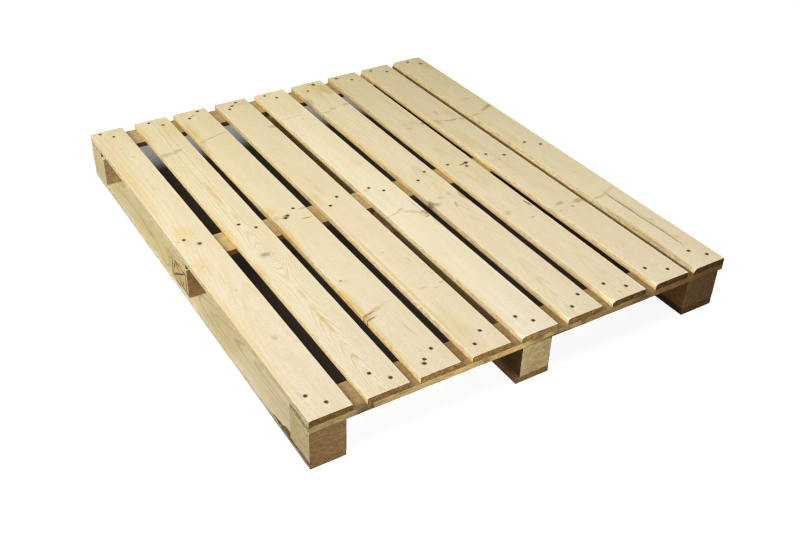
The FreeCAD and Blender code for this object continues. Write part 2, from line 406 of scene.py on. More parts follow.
def timber(name, node, seed, holes, ease, rough, end_rough, axis="y", step=(4.0, 5.0, 2.6),
           wane=None, crack=None, chips=(), cup=0.0, left_slope=0.0):
    """A sawn piece filling the CAD outline of node.

    chips: (centre, radii, extra easing, darkness); cup: drop of the top face's edges;
    left_slope: how far the left face leans in at the top.
    """
    edges, start, end = plan_edges(node, axis)
    lo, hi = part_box(node)
    bottom = lo.z * 1000.0
    height = hi.z * 1000.0 - bottom
    length = end - start
    mid_left, mid_right = edges((start + end) / 2)
    width = float(mid_right - mid_left)

    nails, fixed_across, fixed_along = [], [], []
    for x, y, kind, blind_end in holes:
        place, along = (x, y) if axis == "y" else (y, x)
        left, right = edges(along)
        across = (place - left) / (right - left) * width
        along = along - start
        nails.append((across, along, kind, None if blind_end is None else blind_end - bottom))
        half = cut_half(kind)
        for k in (-half, -half / 3, half / 3, half):
            fixed_across.append(across + k)
            fixed_along.append(along + k)
    if crack:
        fixed_across += [crack["across"] + k for k in CRACK_STEPS]
    lines = grid_lines(width, step[0], fixed_across)
    along_lines = grid_lines(length, step[1], fixed_along)
    up_lines = grid_lines(height, step[2], [])
    levels = len(up_lines) - 1

    # vertices: top grid, bottom grid, then the rings between them
    grid_across, grid_along = np.meshgrid(lines, along_lines, indexing="ij")
    top_ids = np.arange(grid_across.size).reshape(grid_across.shape)
    bottom_ids = top_ids + top_ids.size
    rim = border(0, len(lines) - 1, 0, len(along_lines) - 1)
    rings = [bottom_ids[rim[:, 0], rim[:, 1]]]
    for k in range(1, levels):
        rings.append(2 * top_ids.size + (k - 1) * len(rim) + np.arange(len(rim)))
    rings.append(top_ids[rim[:, 0], rim[:, 1]])
    across = np.concatenate([grid_across.ravel()] * 2 + [lines[rim[:, 0]]] * (levels - 1))
    along = np.concatenate([grid_along.ravel()] * 2 + [along_lines[rim[:, 1]]] * (levels - 1))
    up = np.concatenate([np.full(top_ids.size, height), np.zeros(top_ids.size)]
                        + [np.full(len(rim), up_lines[k]) for k in range(1, levels)])
    on_top, on_bottom = height - up < 0.01, up < 0.01

    points = np.stack([across, along, up], 1)
    size = np.array([width, length, height])
    points, normals, bark = ease_arrises(points, size, ease, chips, seed)
    points = roughen(points, normals, rough, end_rough, seed)
    if cup:
        side = (points[:, 0] / width - 0.5) * 2
        points[:, 2] -= cup * (side * side) * smooth(height * 0.4, height, up)
    if wane:
        bark = np.maximum(bark, cut_wane(points, height, wane, seed))
    crack_mask = np.zeros(len(points))
    if crack:
        crack_mask = open_crack(points, across, along, on_top, crack, seed)
    nail = dent_heads(points, across, along, nails, on_top, on_bottom)
    # a band along the right edge of the top face, which carries a painted highlight
    edge_highlight = np.where(on_top, 1 - smooth(1.5, 5.0, width - across), 0)

    vertices, darkness, hole_quads, triangles, keep_top, keep_bottom = bore_holes(
        points, nails, height, lines, along_lines, top_ids, bottom_ids)
    top_quads = np.stack([top_ids[:-1, :-1], top_ids[1:, :-1],
                          top_ids[1:, 1:], top_ids[:-1, 1:]], -1)
    bottom_quads = np.stack([bottom_ids[:-1, :-1], bottom_ids[:-1, 1:],
                             bottom_ids[1:, 1:], bottom_ids[1:, :-1]], -1)
    side_quads = [band(lower, upper) for lower, upper in zip(rings[:-1], rings[1:])]
    quads = np.concatenate([top_quads[keep_top], bottom_quads[keep_bottom]]
                           + side_quads + hole_quads)
    triangles = np.concatenate(triangles) if triangles else np.zeros((0, 3), np.int64)
    bare = np.zeros(sum(len(k) for k in vertices))
    points = np.concatenate([points] + vertices)
    masks = {"nail": np.concatenate([nail] + darkness)}
    for key, mask in (("bark", bark), ("crack", crack_mask), ("edge", edge_highlight)):
        masks[key] = np.concatenate([mask, bare])

    # to the frame: along the outline, then up
    place = points[:, 1] + start
    left, right = edges(place)
    cross = left + points[:, 0] / width * (right - left)
    if left_slope:
        rise = np.clip(points[:, 2] / height, 0, 1)
        cross = cross + left_slope * rise * (1 - smooth(0, 26, points[:, 0]))
    z = points[:, 2] + bottom
    if axis == "y":
        points = np.stack([cross, place, z], 1)
    else:
        points = np.stack([place, cross, z], 1)
        quads, triangles = quads[:, ::-1], triangles[:, ::-1]
    return write_mesh(name, points, quads, triangles, masks)


# ---- Shader node helpers --------------------------------------------
class Tree:
    """A node tree; each method adds nodes and returns an output."""

    def __init__(self, node_tree):
        self.nodes = node_tree.nodes
        self.links = node_tree.links

    def add(self, kind, inputs=None, **settings):
        node = self.nodes.new(kind if kind.startswith("Node") else "ShaderNode" + kind)
        for key, value in settings.items():
            setattr(node, key, value)
        for key, value in (inputs or {}).items():
            socket = node.inputs[key]
            if isinstance(value, bpy.types.NodeSocket):
                self.links.new(value, socket)
            else:
                if socket.type == "RGBA" and len(value) == 3:
                    value = (*value, 1.0)
                socket.default_value = value
        return node.outputs

    def math(self, operation, *values, clamp=False):
        return self.add("Math", dict(enumerate(values)), operation=operation,
                        use_clamp=clamp)[0]

    def times(self, first, second):
        return self.math("MULTIPLY", first, second)

    def vector(self, operation, *values):
        return self.add("VectorMath", dict(enumerate(values)), operation=operation)[0]

    def split(self, vector):
        return self.add("SeparateXYZ", {0: vector})

    def combine(self, *values):
        return self.add("CombineXYZ", dict(enumerate(values)))[0]

    def mix(self, factor, first, second, blend="MIX"):
        return self.add("Mix", {0: factor, 6: first, 7: second}, data_type="RGBA",
                        blend_type=blend, clamp_factor=True)[2]

    def tint(self, colour, factor, tint):
        return self.mix(factor, colour, tint, "MULTIPLY")

    def shade(self, colour, value):
        return self.tint(colour, 1.0, self.combine(value, value, value))

    def ramp(self, value, start, end, low=0.0, high=1.0, kind="SMOOTHSTEP"):
        return self.add("MapRange", dict(enumerate((value, start, end, low, high))),
                        interpolation_type=kind, clamp=True)[0]

    def stain(self, colour, noise, start, end, strength, tint):
        """Tint where the noise passes from start to end."""
        return self.tint(colour, self.ramp(noise, start, end, 0.0, strength), tint)

    def noise(self, vector, detail, roughness=0.5, scale=1.0, output="Fac"):
        return self.add("TexNoise", {"Vector": vector, "Scale": scale, "Detail": detail,
                                     "Roughness": roughness}, noise_dimensions="3D")[output]

    def waves(self, point, wavelengths, detail, roughness=0.5, output="Fac"):
        return self.noise(self.vector("DIVIDE", point, wavelengths), detail, roughness,
                          output=output)

    def curve(self, along, stations, low, high):
        """A smooth value through (place along, value) stations."""
        outputs = self.add("FloatCurve", {
            "Value": self.math("DIVIDE", along, BOARD_LENGTH, clamp=True)})
        mapping = outputs[0].node.mapping
        points = mapping.curves[0].points
        places = [(a / BOARD_LENGTH, (b - low) / (high - low)) for a, b in stations]
        points[0].location, points[-1].location = places[0], places[-1]
        for place in places[1:-1]:
            points.new(*place)
        mapping.update()
        return self.math("MULTIPLY_ADD", outputs[0], high - low, low)

    def attribute(self, name):
        return self.add("Attribute", attribute_name=name)["Fac"]

    def object_point(self):
        return self.add("TexCoord")["Object"]

    def millimetres(self, point):
        return self.add("VectorMath", {0: point, "Scale": 1000.0}, operation="SCALE")[0]

    def mark(self, vector, place, size, core, strength, turn=0):
        """A turned ellipse (degrees about Z); outputs Mask and Radius."""
        return self.add("Group", {
            "Vector": vector, "Place": place, "Turn": (0, 0, math.radians(turn)),
            "Size": size, "Inner": core, "Strength": strength}, node_tree=MARK)

    def surface(self, shader):
        self.add("OutputMaterial", {"Surface": shader})

    def finish(self, relief, strength, distance, inputs):
        bump = self.add("Bump", {"Strength": strength, "Distance": distance,
                                 "Height": relief})[0]
        self.surface(self.add("BsdfPrincipled", {**inputs, "Normal": bump})[0])


def new_material(name):
    material = bpy.data.materials.new(name)
    material.use_nodes = True
    material.node_tree.nodes.clear()
    return material


def mark_group():
    """How far a point is inside a turned ellipse: 1 in its core, 0 outside."""
    group = bpy.data.node_groups.new("Mark", "ShaderNodeTree")
    for name, kind in (("Vector", "Vector"), ("Place", "Vector"), ("Turn", "Vector"),
                       ("Size", "Vector"), ("Inner", "Float"), ("Strength", "Float")):
        group.interface.new_socket(name, in_out="INPUT", socket_type="NodeSocket" + kind)
    for name in ("Mask", "Radius"):
        group.interface.new_socket(name, in_out="OUTPUT", socket_type="NodeSocketFloat")
    tree = Tree(group)
    given = tree.add("NodeGroupInput")
    mapped = tree.add("Mapping", {"Vector": given["Vector"], "Location": given["Place"],
                                  "Rotation": given["Turn"], "Scale": given["Size"]},
                      vector_type="TEXTURE")[0]
    radius = tree.add("VectorMath", {0: mapped}, operation="LENGTH")["Value"]
    mask = tree.times(tree.ramp(radius, 1.0, given["Inner"]), given["Strength"])
    tree.add("NodeGroupOutput", {"Mask": mask, "Radius": radius})
    return group


MARK = mark_group()


# ---- Wood -----------------------------------------------------------
class Wood(Tree):
    """Softwood in board space (across, along, up), from the origin at the top face."""

    def __init__(self, node_tree, origin, axis, seed):
        super().__init__(node_tree)
        self.seed = seed
        self.object = self.object_point()
        self.point = self.vector("SUBTRACT", self.millimetres(self.object), origin)
        self.facing = tuple(self.split(self.add("NewGeometry")["Normal"]))
        if axis == "x":
            x, y, z = self.split(self.point)
            self.point = self.combine(y, x, z)
            self.facing = (self.facing[1], self.facing[0], self.facing[2])
        self.seeded = self.vector("ADD", self.point, (seed * 131.7, seed * 57.3, seed * 91.1))
        self.ripple = self.centred((7, 17, 7), 3.0, 0.6)     # makes outlines ragged

    def grain(self, wavelengths, detail, roughness=0.5, shift=None):
        point = self.seeded
        if shift:
            point = self.vector("ADD", point, shift)
        return self.waves(point, wavelengths, detail, roughness)

    def centred(self, wavelengths, detail, roughness):
        noise = self.waves(self.seeded, wavelengths, detail, roughness, "Color")
        return self.vector("SUBTRACT", noise, (0.5, 0.5, 0.5))

    def shifted(self, point, noise, reach):
        return self.vector("ADD", point, self.vector("MULTIPLY", noise, reach))

    def growth_rings(self, pith, tilt, knots, spacing, sharp, wobble):
        """Late wood of the rings about the pith line."""
        point = self.shifted(self.point, self.centred((75, 300, 60), 2.0, 0.5),
                             (11.0 * wobble, 26.0 * wobble, 9.0 * wobble))
        point = self.shifted(point, self.centred((14, 46, 14), 2.0, 0.5),
                             (2.2 * wobble, 5.0 * wobble, 1.6 * wobble))
        x, y, z = self.split(point)
        if isinstance(pith[0], tuple):
            pith_x = self.curve(y, [(k[0], k[1]) for k in pith], -100.0, 200.0)
            pith_z = self.curve(y, [(k[0], -k[2]) for k in pith], -150.0, 50.0)
        else:
            pith_x = self.math("MULTIPLY_ADD", y, tilt[0], pith[0])
            pith_z = self.math("MULTIPLY_ADD", y, tilt[1], pith[1])
        dx = self.math("SUBTRACT", x, pith_x)
        dz = self.math("SUBTRACT", z, pith_z)
        away = self.math("SQRT", self.math("ADD", self.times(dx, dx), self.times(dz, dz)))
        for across, along, half_width, half_length, push in knots:
            bulge = self.mark(point, (across, along, 0), (half_width, half_length, 400),
                              core=0.0, strength=push)
            away = self.math("ADD", away, bulge["Mask"])
        phase = self.math("DIVIDE", away, spacing)
        phase = self.math("ADD", phase, self.times(self.grain((160, 900, 160), 1.0), 3.0))
        year = self.math("FLOOR", phase)
        part = self.math("FRACT", phase)
        late = self.times(self.ramp(part, sharp, 0.86), self.ramp(part, 1.0, 0.92))
        vary = self.add("TexWhiteNoise", {"W": self.math("ADD", year, self.seed * 3.7)},
                        noise_dimensions="1D")["Value"]
        self.late = self.times(late, self.ramp(vary, 0.0, 1.0, 0.35, 1.0, "LINEAR"))

    def fibre_colour(self, base, second, blend, ring, ring_tint, grey):
        tone = self.ramp(self.grain((42, 360, 42), 3.0, 0.55), 0.36, 0.66)
        colour = self.mix(self.times(tone, blend), base, second)
        self.fine = self.grain((1.3, 34.0, 1.3), 3.0, 0.6)
        self.hair = self.grain((0.55, 11.0, 0.55), 2.0, 0.6)
        cloud = self.grain((16, 60, 16), 3.0, 0.6)
        blush = self.grain((26, 70, 26), 3.0, 0.6, shift=(31.0, 77.0, 5.0))
        grit = self.grain((2.2, 3.2, 2.2), 2.0, 0.6)
        fleck = self.grain((2.8, 6.5, 2.8), 3.0, 0.65)
        speck = self.grain((2.4, 5.5, 2.4), 1.0, 0.5)
        colour = self.stain(colour, blush, 0.44, 0.64, 0.55, (1.0, 0.968, 0.940))
        colour = self.stain(colour, blush, 0.56, 0.38, 0.55, (0.955, 0.965, 0.86))
        colour = self.tint(colour, self.times(self.late, ring), ring_tint)
        # noise, start, end, strength, tint
        for layer in (
                (self.fine, 0.42, 0.72, 0.40, (0.93, 0.86, 0.74)),
                (self.hair, 0.58, 0.72, 0.55, (0.84, 0.74, 0.60)),
                (cloud, 0.40, 0.70, grey, (0.84, 0.82, 0.80)),
                (grit, 0.34, 0.66, 0.75, (0.915, 0.90, 0.85)),
                (fleck, 0.56, 0.70, 0.60, (0.90, 0.865, 0.79)),
                (fleck, 0.44, 0.30, 0.60, (1.045, 1.05, 1.09)),
                (speck, 0.73, 0.79, 0.35, (0.66, 0.56, 0.46))):
            colour = self.stain(colour, *layer)
        return colour

    def face_tints(self, colour, sides, left, right, top, left_light_run, left_foot_shade, drift):
        """Tone of each face, with painted light and shade on the left, right and top faces, and
        how it changes along and down the piece.
        """
        nx, _, nz = self.facing
        sideways = self.math("ABSOLUTE", nx)
        colour = self.tint(colour, self.ramp(sideways, 0.55, 0.95), (0.95, 0.88, 0.74))
        coarse = self.ramp(self.grain((5.0, 12.0, 3.6), 4.0, 0.68), 0.44, 0.62, 0.0, sides)
        colour = self.tint(colour, self.times(self.ramp(sideways, 0.50, 0.90), coarse),
                           (0.74, 0.62, 0.45))
        # painted light and shade on the left, right and top faces
        for normal, start, end, tint in ((nx, -0.55, -0.9, left), (nx, 0.55, 0.9, right),
                                         (nz, 0.6, 0.9, top)):
            if tint is not None:
                colour = self.tint(colour, self.ramp(normal, start, end), tint)
        # painted light along the left face
        if left_light_run is not None:
            run = self.curve(self.split(self.point)[1], left_light_run, 0.0, 1.6)
            streak = self.ramp(self.grain((4, 24, 3), 3.0, 0.6), 0.3, 0.7, 0.86, 1.12)
            colour = self.mix(self.ramp(nx, -0.55, -0.9), colour,
                              self.shade(colour, self.times(run, streak)))
        # painted shade low down the left face
        if left_foot_shade is not None:
            start, end, tint = left_foot_shade
            low = self.ramp(self.split(self.point)[2], start, end)
            colour = self.tint(colour, self.times(low, self.ramp(nx, -0.55, -0.85)), tint)
        if drift is not None:
            colour = self.shade(colour, self.ramp(self.split(self.point)[1], 0.0, BOARD_LENGTH,
                                                  drift[0], drift[1], "LINEAR"))
        return colour

    def blemish_and_shade(self, colour, point, across, along, half_width, half_length, tint, strength,
                core=0.2, turn=0, ringed=False):
        spread = 1.45 if half_width * half_length < 700 else 1.1
        spot = self.mark(point, (across, along, -2.0),
                         (max(half_width * spread, 2.2), max(half_length * spread, 2.2), 60.0),
                         core + 0.05, strength, turn)
        colour = self.tint(colour, spot["Mask"], tint)
        if ringed:     # a knot: rings inside and a dark rim
            radius = spot["Radius"]
            rim = self.times(self.ramp(radius, 0.62, 0.86), self.ramp(radius, 1.12, 0.94))
            colour = self.tint(colour, self.times(rim, 0.34 * strength), (0.56, 0.44, 0.30))
            inner = self.math("FRACT", self.times(radius, 3.3))
            inner = self.times(self.ramp(inner, 0.4, 0.9), 0.25)
            colour = self.tint(colour, self.times(self.ramp(radius, 1.0, 0.8), inner),
                               (0.72, 0.60, 0.46))
        return colour

    def wear_shade_and_highlight(self, colour, dirt, bark):
        """Rust round the nails, painted shade in the cracks, a painted highlight on the right
        edges of the tops, dirt and bark, from the mesh masks.
        """
        self.ragged = self.grain((2.6, 6.5, 2.6), 2.0)
        rust = self.math("MULTIPLY", self.attribute("nail"),
                         self.math("ADD", self.ragged, 0.45), clamp=True)
        colour = self.stain(colour, rust, 0.15, 0.95, 0.95, (0.26, 0.18, 0.09))
        # painted shade in the crack and along its lips
        colour = self.mix(self.ramp(self.attribute("crack"), 0.03, 0.5), colour,
                          (0.235, 0.150, 0.060))
        # painted highlight along the right edges of the tops
        edge = self.times(self.attribute("edge"), self.ramp(self.ragged, 0.3, 0.6, 0.2, 0.75))
        colour = self.tint(colour, edge, (1.10, 1.10, 1.12))
        if dirt:
            colour = self.stain(colour, self.grain((7, 26, 7), 4.0, 0.70), 0.38, 0.62, dirt,
                                (0.52, 0.42, 0.32))
        flakes = self.grain((5, 12, 5), 4.0, 0.7)
        bark_colour = self.mix(self.ramp(flakes, 0.40, 0.70), bark,
                               tuple(min(1.0, c * 2.6) for c in bark))
        covered = self.times(self.attribute("bark"), self.math("ADD", flakes, 0.55))
        self.bark_mask = self.ramp(covered, 0.25, 0.62)
        return self.mix(self.bark_mask, colour, bark_colour)

    def end_grain(self, colour, end, end_low, bite, arcs, front):
        ny = self.facing[1]
        self.end_mask = self.ramp(self.math("ABSOLUTE", ny), end_low, min(0.9, end_low + 0.35))
        pore = self.grain((1.1, 1.8, 1.0), 3.0, 0.7)
        tear = self.grain((4.2, 7.0, 2.0), 3.0, 0.7, shift=(9.0, 3.0, 7.0))
        patch = self.grain((11, 30, 6), 3.0, 0.6)
        cut = self.mix(self.ramp(patch, 0.34, 0.68),
                       tuple((0.84 - 0.18 * bite) * c for c in end),
                       tuple(min(1, (1.12 + 0.10 * bite) * c) for c in end))
        # noise, start, end, strength, tint
        for layer in (
                (pore, 0.42, 0.66, 0.35 + 0.65 * bite, (0.46, 0.36, 0.27)),
                (pore, 0.42, 0.24, 0.30 + 0.70 * bite, (1.30, 1.36, 1.45)),
                (tear, 0.50, 0.62, 0.9 * bite, (0.50, 0.40, 0.28)),
                (tear, 0.44, 0.32, 0.9 * bite, (1.45, 1.60, 1.75))):
            cut = self.stain(cut, *layer)
        cut = self.tint(cut, self.times(self.late, arcs), (0.66, 0.52, 0.40))
        if front is not None:
            cut = self.tint(cut, self.ramp(ny, -0.5, -0.9), front)
        bare = self.math("SUBTRACT", 1.0, self.times(self.bark_mask, 0.6))
        return self.mix(self.times(self.end_mask, bare), colour, cut)

    def scorch(self, colour, strokes):
        """Burnt strokes on the left face."""
        _, y, z = self.split(self.shifted(self.point, self.ripple, (0.0, 2.2, 2.2)))
        flat = self.combine(z, y, 0.0)
        burn = 0.0
        for along, up, half_height, half_length, turn in strokes:
            stroke = self.mark(flat, (up, along, 0.0),
                               (max(half_height * 1.1, 2.9), max(half_length * 1.1, 2.9), 10.0),
                               core=0.55, strength=1.0, turn=turn)
            burn = self.math("MAXIMUM", burn, stroke["Mask"])
        burn = self.times(burn, self.ramp(self.facing[0], -0.6, -0.9))
        burn = self.times(burn, self.ramp(self.ragged, 0.30, 0.50, 0.35, 1.0))
        return self.mix(burn, colour, (0.060, 0.036, 0.020))

    def light_falloff_tint(self, colour):
        """Painted light falloff: the near left of the pallet is whiter, the far right deeper and
        more yellow.
        """
        x, y, _ = self.split(self.object)
        far = self.ramp(self.math("ADD", y, self.times(x, 0.45)), -0.75, 0.75, 0.0, 1.0,
                        "LINEAR")
        return self.mix(far, self.tint(colour, 1.0, (1.0, 1.0, 1.075)),
                        self.tint(colour, 1.0, (1.0, 0.995, 0.90)))

    def relief(self, saw):
        """Height in mm."""
        height = self.times(self.fine, 0.16)
        for layer, amount in ((self.hair, -0.10), (self.late, 0.07),
                              (self.grain((60, 2.6, 60), 2.0, 0.6), 0.10 * saw)):
            height = self.math("MULTIPLY_ADD", layer, amount, height)
        coarse = self.times(self.grain((1.8, 3.0, 1.8), 4.0, 0.7), 1.1)
        broken = self.math("ADD", self.end_mask, self.bark_mask)
        return self.math("ADD", height, self.times(broken, coarse))

    def roughness(self):
        rough = self.ramp(self.fine, 0.3, 0.7, 0.58, 0.74, "LINEAR")
        rough = self.math("MULTIPLY_ADD", self.late, -0.07, rough)
        broken = self.math("MAXIMUM", self.end_mask, self.bark_mask)
        return self.add("Mix", {0: broken, 2: rough, 3: 0.88}, data_type="FLOAT")[0]


# base, second, blend: the two tones and how far they mix
# pith: (across, up) with tilt per mm, or stations (along, across, depth)
# spacing, ring, ring_tint, sharp: width, strength, tint and onset of the growth rings
# knots: (across, along, half width, half length, push) that bend the rings
# marks: see MARK TABLE below; stamp: scorched strokes on the left face
# left, right, top, front: painted light and shade on those faces, as tints; sides: strength of
# coarse stains on the sides
# left_light_run: painted light along the left face, as (along, brightness); left_foot_shade:
# painted shade low down it, as (start, end, tint)
# drift: brightness at the near and far end; grey, dirt: strength of clouds and dirt
# end, end_low, bite, arcs: end grain tone, normal where it starts, contrast, ring strength
# saw, wobble: depth of the saw marks and wander of the grain
def wood(name, origin, seed, base, second, blend, pith, spacing, ring, end, axis="y",
         tilt=(0.0, 0.0), ring_tint=(0.90, 0.80, 0.60), sharp=0.30, knots=(), marks=(),
         stamp=(), left=None, right=None, top=None, front=None, sides=0.75, left_light_run=None,
         left_foot_shade=None, drift=None, grey=0.15, dirt=0.0, bark=(0.050, 0.032, 0.020),
         end_low=0.55, bite=1.0, arcs=0.6, saw=0.6, wobble=1.0):
    material = new_material(name)
    tree = Wood(material.node_tree, origin, axis, seed)
    tree.growth_rings(pith, tilt, knots, spacing, sharp, wobble)
    colour = tree.fibre_colour(base, second, blend, ring, ring_tint, grey)
    colour = tree.face_tints(colour, sides, left, right, top, left_light_run, left_foot_shade, drift)
    if marks:
        point = tree.shifted(tree.point, tree.ripple, (3.6, 5.0, 3.6))
        for mark in marks:
            colour = tree.blemish_and_shade(colour, point, *mark)
    colour = tree.wear_shade_and_highlight(colour, dirt, bark)
    colour = tree.end_grain(colour, end, end_low, bite, arcs, front)
    if stamp:
        colour = tree.scorch(colour, stamp)
    colour = tree.light_falloff_tint(colour)
    tree.finish(tree.relief(saw), strength=0.85, distance=0.001, inputs={
        "Base Color": colour, "Roughness": tree.roughness(), "Specular IOR Level": 0.28})
    return material


def timber_piece(node, slot, material, **shape):
    piece = timber(node + "_wood", node, **shape)
    piece.data.materials.append(material)
    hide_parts(node)
    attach(piece, "root")


def piece_origin(node):
    lo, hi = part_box(node)
    return lo.x * 1000, lo.y * 1000, hi.z * 1000


# ---- Deck boards ----------------------------------------------------
GREY, FAINT, PALE = (0.52, 0.48, 0.40), (0.83, 0.81, 0.76), (0.91, 0.89, 0.85)
TAN, ORANGE, YELLOW = (0.88, 0.72, 0.56), (0.93, 0.78, 0.58), (0.97, 0.90, 0.73)
BROWN, DARK, OLIVE = (0.50, 0.36, 0.23), (0.26, 0.18, 0.11), (0.62, 0.53, 0.34)
PINK, STRAW = (0.86, 0.72, 0.60), (0.90, 0.80, 0.60)
FOOT_SHADE = (-6.0, -12.5, (0.84, 0.75, 0.62))
